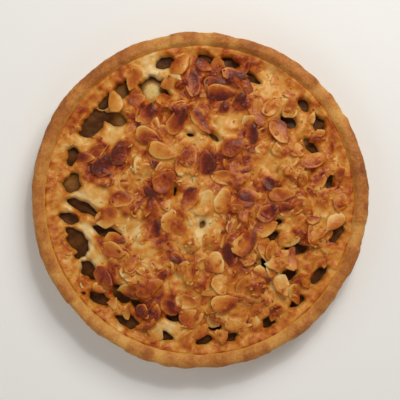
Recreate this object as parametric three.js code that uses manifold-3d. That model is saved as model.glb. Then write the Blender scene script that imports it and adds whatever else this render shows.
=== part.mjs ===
// Apricot tart: a round yeast-dough case, an apricot filling, and over it a sheet of netted dough
// whose openings show the filling, covered with flaked almonds baked in sugar.
// Millimetres, +Z up, the origin on the underside at the middle. +Y is away from the viewer.

import * as THREE from "three";
import { mergeVertices } from "three/addons/utils/BufferGeometryUtils.js";
import Module from "manifold-3d";

const wasm = await Module();
wasm.setup();

// Driving dimensions of the dough case
const TART_DIAMETER = 240;
const BASE_DIAMETER = 222;
const RIM_HEIGHT = 30;
const RIM_WIDTH = 10;
const FLOOR_THICKNESS = 6;
const WIDEST_HEIGHT = 24.5;
const HEEL_RADIUS = 4;
const RIM_WOBBLE = 0.9;
const PINCH_DEPTH = 0.8;
const PINCHES = 16;

// Driving dimensions of what lies in it
const FIT_GAP = 0.3;
const FILLING_TOP = 21;
const FILLING_DIMPLE = 0.9;
const NET_EDGE_TOP = 26;
const NET_RISE = 2;
const NET_LUMP = 0.55;
const WALL_LEAN = 2.4;
const OPENING_FLARE = 1.22;
const OPENING_FOOT = 0.86;

// Flaked almonds
const FLAKE_THICKNESS = 1.5;
const FLAKE_SINK = 0.9;
const FLAKE_CUP = 0.9;
const FLAKE_WIDTH_SHARE = 0.64;
const FLAKE_POINT = 0.26;
const FLAKE_SIDES = 7;
const STEEPEST_SLOPE = 0.38;
const SCATTERED_FLAKES = 70;
const FLAKE_LENGTH = { least: 12.5, most: 17.5 };

// How finely the round pieces are divided
const CASE_SEGMENTS = 64;
const FILLING_SEGMENTS = 40;
const NET_SEGMENTS = 48;
const NET_RINGS = 9;
const MAP_STEP = 1;
const SLIVER = 0.12;

const TART_RADIUS = TART_DIAMETER / 2;
const BASE_RADIUS = BASE_DIAMETER / 2;
const CREST_RADIUS = TART_RADIUS - RIM_WIDTH / 2;
const WELL_RADIUS = TART_RADIUS - RIM_WIDTH - WALL_LEAN;
const NET_BOTTOM = FILLING_TOP + FIT_GAP;
const NET_RADIUS = WELL_RADIUS - FIT_GAP;
const FLAKE_REACH = NET_RADIUS - 0.5;
const FLAKE_TRIES = 9;
const STRAY_FROM_OPENING = 1.25;

// Openings of the net that show between the almonds: x, y, length, width, turn in degrees
const OPENINGS = [
  [-55, 78, 16, 9.5, 38],
  [-67, 69, 12, 7, 42],
  [-60, 57.5, 16, 10, -15],
  [-76, 54, 25, 12, 52],
  [-91, 31, 14, 7.5, 75],
  [-91, 12, 16, 12, 80],
  [-83.5, -5, 24, 7.5, -27],
  [-93, -13, 13, 9, -12],
  [-87.5, -29.5, 24, 13, -60],
  [-66, -23, 21, 9, -22],
  [-79, -50, 16, 9, -45],
  [-56, -67.5, 16, 10, -50],
  [-43.5, -74, 14, 6, -35],
  [-18, -84, 12, 6, -10],
  [11.5, -91, 9, 5.5, 0],
  [-32.5, 79, 21, 15, -12],
  [-6.5, 46.5, 6, 2.6, -5],
  [10.5, 44.5, 8, 3.4, -40],
  [63.5, 55.5, 12.5, 8.5, -40],
  [79.5, 38, 13, 6.5, -48],
  [37, 87, 12, 5.5, -28],
  [92.5, 12.5, 12, 4.5, 85],
  [2, -18.5, 8, 4.4, 70],
  [56, -16, 5.5, 4, 30],
  [-17.5, 7, 9, 2.4, 80],
];

// Places where the dough lies bare between the almonds: x, y, radius
const BARE_DOUGH = [
  [-61, 46, 8],
  [-83, 40, 7],
  [-76, 3, 11],
  [-56, -10, 8],
  [-79, -22, 9],
  [-75, -40, 9],
  [-33, 93, 9],
  [-4, 45, 8],
  [18, 54, 10],
  [3, -18, 9],
  [45, 80, 8],
  [68, 50, 7],
  [82, 33, 8],
  [47, 26, 9],
  [-16, -59, 7],
  [-20, -90, 8],
  [63, -16, 6],
  [-97, -4, 8],
  [-90, -45, 8],
];

// The almond flakes that stand out on top: x, y, length, turn in degrees
const NOTABLE_FLAKES = [
  [-66.5, 25, 20, 40],
  [-57, 33, 17, 75],
  [-82, 30, 11, 0],
  [-38, 61, 17, 58],
  [-44.5, 71.5, 12, 20],
  [-36.5, 45, 19, -20],
  [-26.5, 35, 20, -12],
  [-16, 56, 21, 60],
  [-4.5, 83, 19, 95],
  [9.5, 82, 15, 0],
  [24.5, 89, 18, -5],
  [14.5, 76, 19, 0],
  [0.5, 56, 20, -52],
  [-7.5, 32.5, 14, 70],
  [5.5, 26, 18, 80],
  [24, 37.5, 18, 30],
  [29, 70, 13, 70],
  [18, 65.5, 11, 80],
  [40, 64, 23, -68],
  [37, 47, 14, 85],
  [56.5, 49, 19, -60],
  [44.5, 35.5, 12, 20],
  [51.5, 66, 16, 40],
  [81.5, 28.5, 20, 20],
  [49.5, 11.5, 12, -55],
  [58, 4, 18, 5],
  [35, 3.5, 16, -5],
  [48.5, -9, 16, 35],
  [71.5, 2, 12, -60],
  [90, -7, 12, 60],
  [16.5, -0.5, 18, 80],
  [-6.5, 0, 18, 65],
  [2.5, -2, 19, 60],
  [-18, -17, 20, -35],
  [-32, -20, 13, 80],
  [-33, 7, 15, -30],
  [-25, 13, 18, 45],
  [20, 15.5, 24, -8],
  [-65.5, -12, 18, 50],
  [-63, -26, 18, -5],
  [-61.5, -35.5, 17, -18],
  [-55, 0.5, 17, 5],
  [-48, -46, 13, 60],
  [-36, -62, 20, 30],
  [-68.5, -54.5, 17, -40],
  [-40, -79, 12, -50],
  [11, -45.5, 17, -50],
  [14, -59.5, 16, -55],
  [31.5, -35, 18, 45],
  [21.5, -37.5, 17, 95],
  [-9, -72.5, 16, -8],
  [-21.5, -76, 15, -45],
  [-6, -84, 17, 20],
  [17.5, -73, 19, 15],
  [24.5, -88.5, 13, 0],
];

// The net goes on in staggered rows where nothing above is named: in this quarter and along the rim.
// There too only some of its cells stay open, and sugar and almonds close the others.
const REGULAR_QUARTER = { left: 44, top: -22 };
const NAMED_RADIUS = 93;
const NET_PITCH = { along: 24, across: 15 };
const NET_TURN = 24;
const NET_CELL = { length: 15, width: 8 };
const EDGE_CELLS = 24;
const EDGE_CELL = { length: 14, width: 8, radius: 100.5 };
const OPEN_SHARE = 0.65;
const CLOSED_DIP = 1.1;

const RANDOM_SEED = 99;
const radians = THREE.MathUtils.degToRad;
const between = (low, high, share) => low + (high - low) * share;

// Random numbers from 0 to 1, the same on every run
function randomSource(seed) {
  let state = seed >>> 0;
  return () => {
    state = (Math.imul(state, 1664525) + 1013904223) >>> 0;
    return state / 4294967296;
  };
}

// A soft unevenness from about -1 to 1: waves of several lengths and directions added up
function makeLumps(seed, waves, longest, shortest) {
  const random = randomSource(seed);
  const list = [];
  for (let i = 0; i < waves; i++) {
    const length = between(longest, shortest, i / (waves - 1));
    const heading = random() * Math.PI * 2;
    const phase = random() * Math.PI * 2;
    const number = (Math.PI * 2) / length;
    list.push([Math.cos(heading) * number, Math.sin(heading) * number, phase]);
  }
  const scale = Math.sqrt(2 / waves) / 1.4;
  return (x, y) => list.reduce((sum, [kx, ky, phase]) => sum + Math.sin(kx * x + ky * y + phase), 0) * scale;
}

const netLumps = makeLumps(11, 9, 60, 11);
const fillingLumps = makeLumps(12, 6, 40, 14);

// Moves every vertex of a geometry to where place(x, y, z) puts it
function reshape(geometry, place) {
  const points = geometry.getAttribute("position");
  for (let i = 0; i < points.count; i++) {
    points.setXYZ(i, ...place(points.getX(i), points.getY(i), points.getZ(i)));
  }
  return geometry;
}

// Turns a profile of radius and height round the Z axis
function turned(profile, segments) {
  return new THREE.LatheGeometry(profile, segments).rotateX(Math.PI / 2);
}

// A closed geometry as a solid that can be joined and cut
function solidOf(geometry) {
  const bare = geometry.clone();
  bare.deleteAttribute("normal");
  bare.deleteAttribute("uv");
  const merged = mergeVertices(bare, 1e-4);
  return new wasm.Manifold(
    new wasm.Mesh({
      numProp: 3,
      vertProperties: Float32Array.from(merged.getAttribute("position").array),
      triVerts: Uint32Array.from(merged.index.array),
    }),
  );
}

// A solid as a geometry again: its one largest body, without slivers, sealed hollows or loose scraps
function geometryOf(solid) {
  const bodies = solid.simplify(SLIVER).decompose().sort((a, b) => b.volume() - a.volume());
  const mesh = bodies[0].getMesh();
  const geometry = new THREE.BufferGeometry();
  geometry.setAttribute("position", new THREE.BufferAttribute(mesh.vertProperties, 3));
  geometry.setIndex(new THREE.BufferAttribute(mesh.triVerts, 1));
  geometry.computeVertexNormals();
  return geometry;
}

// The dough case: a flat base, sides that lean out, a rounded rim, and the well for the filling
function caseGeometry() {
  const profile = new THREE.Path()
    .moveTo(0, 0)
    .lineTo(BASE_RADIUS - HEEL_RADIUS, 0)
    .quadraticCurveTo(BASE_RADIUS, 0, BASE_RADIUS + 0.6, HEEL_RADIUS)
    .lineTo(TART_RADIUS - 1.2, WIDEST_HEIGHT - 5)
    .bezierCurveTo(TART_RADIUS, WIDEST_HEIGHT, TART_RADIUS - 0.6, RIM_HEIGHT, CREST_RADIUS, RIM_HEIGHT)
    .bezierCurveTo(
      TART_RADIUS - RIM_WIDTH + 1, RIM_HEIGHT,
      TART_RADIUS - RIM_WIDTH, RIM_HEIGHT - 2,
      WELL_RADIUS + 0.5, FILLING_TOP + 2,
    )
    .lineTo(WELL_RADIUS, FILLING_TOP)
    .lineTo(WELL_RADIUS - 2, FLOOR_THICKNESS + HEEL_RADIUS)
    .quadraticCurveTo(WELL_RADIUS - 2.5, FLOOR_THICKNESS, WELL_RADIUS - 6, FLOOR_THICKNESS)
    .lineTo(0, FLOOR_THICKNESS);
  return reshape(turned(profile.getPoints(3), CASE_SEGMENTS), unevenRim);
}

// The rim wanders a little in width and height, with a shallow pinch where each strand of dough meets it
function unevenRim(x, y, z) {
  const radius = Math.hypot(x, y);
  const angle = Math.atan2(y, x);
  const out = THREE.MathUtils.smoothstep(radius, WELL_RADIUS + 3, TART_RADIUS) * THREE.MathUtils.smoothstep(z, 0, 8);
  const up = THREE.MathUtils.smoothstep(z, WIDEST_HEIGHT, RIM_HEIGHT);
  const wander = Math.sin(3 * angle + 0.8) + 0.6 * Math.sin(7 * angle + 2.1) + 0.4 * Math.sin(13 * angle);
  const pinch = Math.pow(Math.abs(Math.cos((angle * PINCHES) / 2)), 6);
  const grown = radius > 0 ? 1 + (out * RIM_WOBBLE * wander) / radius / 2 : 1;
  const lift = up * (RIM_WOBBLE * 0.5 * Math.sin(5 * angle + 1.3) - PINCH_DEPTH * pinch);
  return [x * grown, y * grown, z + lift];
}

// The filling: a round slab whose top sinks a little in places
function fillingGeometry() {
  const radius = WELL_RADIUS - FIT_GAP;
  const profile = [
    new THREE.Vector2(0, FLOOR_THICKNESS + FIT_GAP),
    new THREE.Vector2(radius - 6.2, FLOOR_THICKNESS + FIT_GAP),
    new THREE.Vector2(radius - 2.2, FLOOR_THICKNESS + HEEL_RADIUS + FIT_GAP),
    new THREE.Vector2(radius, FILLING_TOP - 1),
  ];
  const rings = 6;
  for (let ring = 0; ring <= rings; ring++) {
    profile.push(new THREE.Vector2((radius - 0.4) * (1 - ring / rings), FILLING_TOP));
  }
  return reshape(turned(profile, FILLING_SEGMENTS), (x, y, z) => {
    const sunk = z > FILLING_TOP - 0.5 ? FILLING_DIMPLE * (0.5 + 0.5 * fillingLumps(x, y)) : 0;
    return [x, y, z - THREE.MathUtils.clamp(sunk, 0, 2 * FILLING_DIMPLE)];
  });
}

// How deep inside an opening a point lies: 0 in its middle, 1 on its edge
function depthIn([x0, y0, length, width, turn], x, y) {
  const cos = Math.cos(radians(turn));
  const sin = Math.sin(radians(turn));
  const along = ((x - x0) * cos + (y - y0) * sin) / (length / 2);
  const across = ((y - y0) * cos - (x - x0) * sin) / (width / 2);
  return Math.hypot(along, across);
}

// The cells of a slit-and-stretched net: staggered rows inside, and one ring where the strands reach the rim
function netCells() {
  const random = randomSource(RANDOM_SEED);
  const cells = [];
  const add = (x, y, { length, width }, turn) => {
    const size = between(0.75, 1.2, random());
    const swing = between(-18, 18, random());
    cells.push({ shape: [x, y, length * size, width * size, turn + swing], open: random() < OPEN_SHARE });
  };
  const cos = Math.cos(radians(NET_TURN));
  const sin = Math.sin(radians(NET_TURN));
  const reach = Math.ceil(TART_RADIUS / NET_PITCH.across);
  for (let row = -reach; row <= reach; row++) {
    for (let column = -reach; column <= reach; column++) {
      const along = (column + (row % 2 === 0 ? 0 : 0.5)) * NET_PITCH.along;
      const across = row * NET_PITCH.across;
      const x = along * cos - across * sin;
      const y = along * sin + across * cos;
      if (Math.hypot(x, y) < EDGE_CELL.radius - NET_PITCH.across) add(x, y, NET_CELL, NET_TURN);
    }
  }
  for (let i = 0; i < EDGE_CELLS; i++) {
    const degrees = (i * 360) / EDGE_CELLS + between(-3, 3, random());
    const angle = radians(degrees);
    add(EDGE_CELL.radius * Math.cos(angle), EDGE_CELL.radius * Math.sin(angle), EDGE_CELL, degrees + 90);
  }
  const clear = ([x, y]) => OPENINGS.every(([ox, oy, length]) => Math.hypot(x - ox, y - oy) > 7 + length / 2);
  return cells.filter(({ shape }) => clear(shape));
}

function isUnnamed([x, y]) {
  return Math.hypot(x, y) > NAMED_RADIUS || (x > REGULAR_QUARTER.left && y < REGULAR_QUARTER.top);
}

const cells = netCells();
const openCells = cells.filter(({ shape, open }) => open && isUnnamed(shape)).map(({ shape }) => shape);
const closedCells = cells.filter(({ shape, open }) => !(open && isUnnamed(shape))).map(({ shape }) => shape);
const openings = [...OPENINGS, ...openCells];

// The height of the net's top: a low dome, lumpy, and sunk where sugar has closed a cell
function netTop(x, y) {
  const share = Math.min(1, Math.hypot(x, y) / NET_RADIUS);
  let height = NET_EDGE_TOP + NET_RISE * (1 - share ** 4) + NET_LUMP * netLumps(x, y);
  for (const cell of closedCells) {
    height -= CLOSED_DIP * Math.exp(-(depthIn(cell, x, y) ** 2));
  }
  return height;
}

// The net's sheet: domed and lumpy above, flat below
function sheetGeometry() {
  const profile = [new THREE.Vector2(0, NET_BOTTOM), new THREE.Vector2(NET_RADIUS, NET_BOTTOM)];
  for (let ring = 0; ring <= NET_RINGS; ring++) {
    profile.push(new THREE.Vector2(NET_RADIUS * (1 - ring / NET_RINGS), NET_EDGE_TOP));
  }
  return reshape(turned(profile, NET_SEGMENTS), (x, y, z) => [x, y, z < NET_EDGE_TOP - 1 ? z : netTop(x, y)]);
}

// What an opening takes out of the sheet: a slanted-sided plug between an oval and a lozenge
function openingPlug([x0, y0, length, width, turn]) {
  const height = NET_EDGE_TOP + NET_RISE + 3 - NET_BOTTOM + 1;
  const sides = length > 12 ? 9 : 7;
  const plug = new THREE.CylinderGeometry(OPENING_FLARE, OPENING_FOOT, height, sides).rotateX(Math.PI / 2);
  reshape(plug, (x, y, z) => {
    const angle = Math.atan2(y, x);
    const corner = 1 / (Math.abs(Math.cos(angle)) ** 1.6 + Math.abs(Math.sin(angle)) ** 1.6) ** (1 / 1.6);
    const swell = Math.hypot(x, y) > 0 ? corner : 1;
    return [(x * swell * length) / 2, (y * swell * width) / 2, z];
  });
  return plug.rotateZ(radians(turn)).translate(x0, y0, NET_BOTTOM - 1 + height / 2);
}

// A map of how high the surface stands, which rises as flakes come down on it
class HeightMap {
  constructor() {
    this.size = Math.round(TART_DIAMETER / MAP_STEP) + 1;
    this.heights = new Float64Array(this.size * this.size);
    for (let row = 0; row < this.size; row++) {
      for (let column = 0; column < this.size; column++) {
        const x = column * MAP_STEP - TART_RADIUS;
        const y = row * MAP_STEP - TART_RADIUS;
        const open = openings.some((opening) => depthIn(opening, x, y) < 1);
        this.heights[row * this.size + column] = open ? FILLING_TOP : netTop(x, y);
      }
    }
  }

  cell(x, y) {
    const column = Math.floor((x + TART_RADIUS) / MAP_STEP + 0.5);
    const row = Math.floor((y + TART_RADIUS) / MAP_STEP + 0.5);
    return row * this.size + column;
  }

  at(x, y) {
    return this.heights[this.cell(x, y)];
  }

  raise(x, y, height) {
    const index = this.cell(x, y);
    this.heights[index] = Math.max(this.heights[index], height);
  }
}

// The points of a flake's footprint that are tested, as shares of its half length and half width
const FOOTPRINT = [];
for (let u = -0.8; u < 0.9; u += 0.4) {
  for (let v = -0.8; v < 0.9; v += 0.4) {
    if (Math.hypot(u, v) < 0.95) FOOTPRINT.push([u, v]);
  }
}

// Lays a flake on the surface: it takes the slope of what is under it and sinks a little into the sugar
function settle(map, [x, y, length, turn]) {
  const [a, b] = [length / 2, (length * FLAKE_WIDTH_SHARE) / 2];
  const cos = Math.cos(radians(turn));
  const sin = Math.sin(radians(turn));
  const world = (u, v) => [x + u * a * cos - v * b * sin, y + u * a * sin + v * b * cos];
  const heights = FOOTPRINT.map(([u, v]) => map.at(...world(u, v)));
  let [alongU, alongV, uu, vv] = [0, 0, 0, 0];
  FOOTPRINT.forEach(([u, v], i) => {
    alongU += u * heights[i];
    alongV += v * heights[i];
    uu += u * u;
    vv += v * v;
  });
  const slopeU = THREE.MathUtils.clamp(alongU / uu, -STEEPEST_SLOPE * a, STEEPEST_SLOPE * a);
  const slopeV = THREE.MathUtils.clamp(alongV / vv, -STEEPEST_SLOPE * b, STEEPEST_SLOPE * b);
  const rest = Math.max(...FOOTPRINT.map(([u, v], i) => heights[i] - slopeU * u - slopeV * v)) - FLAKE_SINK;
  const step = MAP_STEP / 2;
  for (let s = -a; s <= a; s += step) {
    for (let t = -b; t <= b; t += step) {
      const [u, v] = [s / a, t / b];
      if (Math.hypot(u, v) < 1) map.raise(...world(u, v), rest + slopeU * u + slopeV * v + FLAKE_THICKNESS);
    }
  }
  return { x, y, turn, a, b, slopeU, slopeV, rest };
}

// Random flakes, each at the emptiest of a few spots, off the openings and off the bare dough
function scatteredFlakes(map) {
  const random = randomSource(RANDOM_SEED);
  const taken = NOTABLE_FLAKES.map(([x, y]) => [x, y]);
  const laid = [];
  while (laid.length < SCATTERED_FLAKES) {
    const length = between(FLAKE_LENGTH.least, FLAKE_LENGTH.most, random());
    const turn = Math.round(random() * 360);
    let best = { room: 0 };
    for (let attempt = 0; attempt < FLAKE_TRIES; attempt++) {
      const radius = (FLAKE_REACH - length / 2) * Math.sqrt(random());
      const angle = random() * Math.PI * 2;
      const [x, y] = [radius * Math.cos(angle), radius * Math.sin(angle)];
      const open = openings.some((opening) => depthIn(opening, x, y) < STRAY_FROM_OPENING);
      const bare = BARE_DOUGH.some(([bx, by, br]) => Math.hypot(x - bx, y - by) < br);
      const room = Math.min(...taken.map(([tx, ty]) => Math.hypot(x - tx, y - ty)));
      if (!open && !bare && room > best.room) best = { x, y, room };
    }
    if (best.room > 0) {
      taken.push([best.x, best.y]);
      laid.push(settle(map, [best.x, best.y, length, turn]));
    }
  }
  return laid;
}

// One flake: an almond outline, pointed at one end, cupped or domed, lying on its slope
function flakeGeometry(flake, index) {
  const { x, y, turn, a, b, slopeU, slopeV, rest } = flake;
  const cup = (index % 3 === 0 ? -1 : 1) * FLAKE_CUP;
  const blank = new THREE.CylinderGeometry(1, 1, 1, FLAKE_SIDES).rotateX(Math.PI / 2);
  reshape(blank, (u, v, side) => {
    const narrowed = v * (1 - FLAKE_POINT * u);
    const bend = cup * (u * u + v * v) * 0.6 - cup * 0.3;
    const lift = rest + slopeU * u + slopeV * narrowed + bend + (side + 0.5) * FLAKE_THICKNESS;
    return [u * a, narrowed * b, lift];
  });
  return blank.rotateZ(radians(turn)).translate(x, y, 0);
}

// The net with its openings cut and the almond flakes fused on
function toppingGeometry() {
  const map = new HeightMap();
  const flakes = [...scatteredFlakes(map), ...NOTABLE_FLAKES.map((flake) => settle(map, flake))];
  const plugs = wasm.Manifold.union(openings.map((opening) => solidOf(openingPlug(opening))));
  const net = solidOf(sheetGeometry()).subtract(plugs);
  return geometryOf(wasm.Manifold.union([net, ...flakes.map((flake, index) => solidOf(flakeGeometry(flake, index)))]));
}

function piece(name, geometry, colour, roughness) {
  geometry.computeVertexNormals();
  const material = new THREE.MeshStandardMaterial({ color: colour, roughness, metalness: 0, flatShading: true });
  const mesh = new THREE.Mesh(geometry, material);
  mesh.name = name;
  return mesh;
}

const tart = new THREE.Group();
const dough = piece("dough_case", caseGeometry(), 0xc98d45, 0.8);
tart.add(dough);
tart.add(piece("apricot_filling", fillingGeometry(), 0x6f4a1c, 0.25));
tart.add(piece("almond_net_topping", toppingGeometry(), 0xc8873c, 0.45));

// The uneven rim's middle is brought back over the origin
const middle = new THREE.Box3().setFromObject(dough).getCenter(new THREE.Vector3());
tart.position.set(-middle.x, -middle.y, 0);

export default tart;
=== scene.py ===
"""An apricot tart: a dough case, a dark fruit filling, a net of dough, and almonds baked in sugar.

The solids of the frame give each piece its place. Here they get their real surfaces: rounded
strands of dough round the openings, sugar that has run between the almonds, hundreds of thin
almond flakes that lie on each other, and a studio round them. Sizes in the classes are
millimetres; meshes are metres in the frame of the solids, with the origin on the underside.
"""

import logging
import math
from dataclasses import dataclass, field
from enum import Enum
from typing import Sequence

import bmesh
import bpy
import numpy as np
from mathutils import Matrix, Vector


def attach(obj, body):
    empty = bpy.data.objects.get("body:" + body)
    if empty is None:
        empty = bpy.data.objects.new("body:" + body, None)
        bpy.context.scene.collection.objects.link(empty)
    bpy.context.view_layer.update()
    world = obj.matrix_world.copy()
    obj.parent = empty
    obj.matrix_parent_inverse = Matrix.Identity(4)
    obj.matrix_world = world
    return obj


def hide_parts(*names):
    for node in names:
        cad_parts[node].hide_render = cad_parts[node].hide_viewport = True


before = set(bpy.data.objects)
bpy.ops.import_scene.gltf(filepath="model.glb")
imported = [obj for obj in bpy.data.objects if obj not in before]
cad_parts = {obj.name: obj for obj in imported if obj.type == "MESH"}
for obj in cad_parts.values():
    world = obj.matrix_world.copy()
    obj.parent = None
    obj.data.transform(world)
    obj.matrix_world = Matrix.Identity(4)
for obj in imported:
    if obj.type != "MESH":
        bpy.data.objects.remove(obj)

log = logging.getLogger("apricot_tart")

Spot = tuple[float, float]
Colour = tuple[float, float, float]
Stops = Sequence[tuple[float, Colour]]
Socket = bpy.types.NodeSocket
Value = Socket | float

MM = 0.001
ROOT_BODY = "root"
TAU = 2 * math.pi

# The sizes that the solids have as well
TART_RADIUS = 120.0
BASE_RADIUS = 111.0
RIM_HEIGHT = 30.0
RIM_WIDTH = 10.0
FLOOR_THICKNESS = 6.0
WIDEST_HEIGHT = 24.5
HEEL_RADIUS = 4.0
WALL_LEAN = 2.4
FILLING_TOP = 21.0
NET_BOTTOM = 21.3
NET_EDGE_TOP = 26.0
NET_RISE = 2.0
NET_LUMP = 0.55
WELL_RADIUS = TART_RADIUS - RIM_WIDTH - WALL_LEAN
NET_RADIUS = WELL_RADIUS - 0.3
FLAKE_REACH = NET_RADIUS - 0.5
SOLID_SEED = 99

# A flake's room in height, its middle over its underside, its width as a share of its length, how
# much slimmer its pointed end is, and by how much an opening is grown to keep its middle off
FLAKE_THICKNESS = 1.5
FLAKE_MIDDLE = FLAKE_THICKNESS / 2
WIDTH_SHARE = 0.64
POINTED = 0.26
STRAY = 1.25


class Bake(Enum):
    """How far the oven has taken a flake or a patch of sugar, where 0 is cream and 1 is burnt."""

    PALE = 0.2
    GOLDEN = 0.38
    AMBER = 0.52
    BROWN = 0.66
    RED_BROWN = 0.78
    BURNT = 0.96


@dataclass(frozen=True)
class Opening:
    """An oval hole in the dough net.

    Attributes:
        x: Middle, to the right, in millimetres.
        y: Middle, away from the viewer, in millimetres.
        length: Long way across.
        width: Short way across.
        turn: Turn of the long way from +X, in degrees.
    """

    x: float
    y: float
    length: float
    width: float
    turn: float

    def depth(self, x: np.ndarray, y: np.ndarray, power: float = 2.0) -> np.ndarray:
        """Says how deep inside the opening points lie.

        Args:
            x: Places to the right.
            y: Places away from the viewer.
            power: 2 for an oval, less for a lozenge.

        Returns:
            0 in the middle, 1 on the edge, more outside.
        """
        cos, sin = math.cos(math.radians(self.turn)), math.sin(math.radians(self.turn))
        along = np.abs((x - self.x) * cos + (y - self.y) * sin) / (self.length / 2)
        across = np.abs((y - self.y) * cos - (x - self.x) * sin) / (self.width / 2)
        return (along**power + across**power) ** (1 / power)


# Openings that show between the almonds, largest on the left, where the net lies bare
NAMED_OPENINGS = tuple(
    Opening(*row)
    for row in (
        (-55, 78, 16, 9.5, 38), (-67, 69, 12, 7, 42), (-60, 57.5, 16, 10, -15), (-76, 54, 25, 12, 52),
        (-91, 31, 14, 7.5, 75), (-91, 12, 16, 12, 80), (-83.5, -5, 24, 7.5, -27), (-93, -13, 13, 9, -12),
        (-87.5, -29.5, 24, 13, -60), (-66, -23, 21, 9, -22), (-79, -50, 16, 9, -45),
        (-56, -67.5, 16, 10, -50), (-44, -75, 12, 5.5, -35), (-18, -84, 12, 6, -10),
        (11.5, -91, 9, 5.5, 0), (-32.5, 79, 21, 15, -12), (-6.5, 46.5, 5, 2.2, -5),
        (10.5, 44.5, 8, 3.4, -40), (63.5, 55.5, 12.5, 8.5, -40), (79.5, 38, 13, 6.5, -48),
        (37, 87, 12, 5.5, -28), (92.5, 12.5, 12, 4.5, 85), (2, -17.5, 6, 3.2, 64), (56, -16, 5.5, 4, 30),
        (-17.5, 6, 6.5, 1.4, 80),
    )
)

# Places where the dough lies bare: x, y, radius, how far baked
BARE_DOUGH = (
    (-61, 46, 8, 0.08), (-83, 40, 7, 0.12), (-76, 3, 11, 0.12), (-56, -10, 8, 0.16), (-79, -22, 9, 0.06),
    (-75, -40, 9, 0.1), (-33, 93, 9, 0.08), (-4, 45, 8, 0.1), (18, 54, 10, 0.16), (3, -18, 9, 0.26),
    (45, 80, 8, 0.26), (68, 50, 7, 0.28), (82, 33, 8, 0.4), (47, 26, 9, 0.3), (-16, -59, 7, 0.34),
    (-20, -90, 8, 0.2), (63, -16, 6, 0.24), (-97, -4, 8, 0.3), (-90, -45, 8, 0.3),
)

# Browner and paler places of sugar between them: x, y, radius, how far baked; a few browner places on the
# left beside slits, as at -78, 16, are partly painted shade
SUGAR_TONES = (
    (84, 16, 8, 0.84), (39, 35, 7, 0.8), (26, 26, 7, 0.92), (13, 82, 10, 1.0), (-5, 80, 7, 0.78),
    (36, 5, 7, 0.68), (6, -54, 8, 0.8), (24, -19, 7, 0.76), (-26, -24, 6, 0.68), (-14, -68, 6, 0.72),
    (-20, -13, 6, 0.64), (-52, -2, 6, 0.84), (19, -68, 7, 0.62), (-29, -75, 7, 0.9), (-67, -29, 6, 0.82),
    (-86, -8, 6, 0.6), (-56, -18, 8, 0.04), (-43, 18, 6, 0.2), (-40, -33, 7, 0.22), (-60, 10, 7, 0.14),
    (-2, -10, 8, 0.02), (-30, 58, 5, 0.42), (-6, -35, 7, 0.12), (-36, 72, 6, 0.26), (-56, 64, 6, 0.34),
    (3, -75, 6, 0.26), (-50, -57, 6, 0.24), (-84, 14, 6, 0.3), (70, 36, 6, 0.76), (-24, -50, 7, 0.7),
    (-73, -13, 5, 0.7), (-78, 16, 5, 0.72), (-34, -25, 5, 0.74), (14, 9, 5, 0.68), (-69, -48, 6, 0.64),
    (11, 42, 6, 0.16), (-6, 19, 6, 0.3), (-16, -1, 5, 0.24), (-37, -46, 6, 0.2), (56, 48, 6, 0.8),
    (69, -13, 6, 0.54), (-12, -31, 6, 0.24), (-81, 29, 7, 0.76), (0, 13, 6, 0.28), (-5, 49, 5, 0.08),
    (28, -42, 5, 0.5), (17, -69, 5, 0.8), (-51, -21, 7, 0.05), (-17, -23, 4, 0.16), (70, 13, 6, 0.2),
    (22, 50, 4, 0.42), (-23, 51, 5, 0.84), (-71, 4, 7, 0.06), (61, 18, 5, 0.32), (5, 64, 5, 0.36),
    (-64, 22, 5.5, 1.0), (-39, 26, 5, 0.5), (-32, -56, 6, 0.86),
)


@dataclass(frozen=True)
class NamedFlake:
    """An almond flake that can be told apart in the tart.

    Attributes:
        x: Middle, to the right, in millimetres.
        y: Middle, away from the viewer, in millimetres.
        length: Length of the flake.
        turn: Turn of its pointed end from +X, in degrees.
        bake: How far it is baked.
        slim: Its width as a factor of the usual one.
    """

    x: float
    y: float
    length: float
    turn: float
    bake: Bake
    slim: float = 1.0


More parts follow.
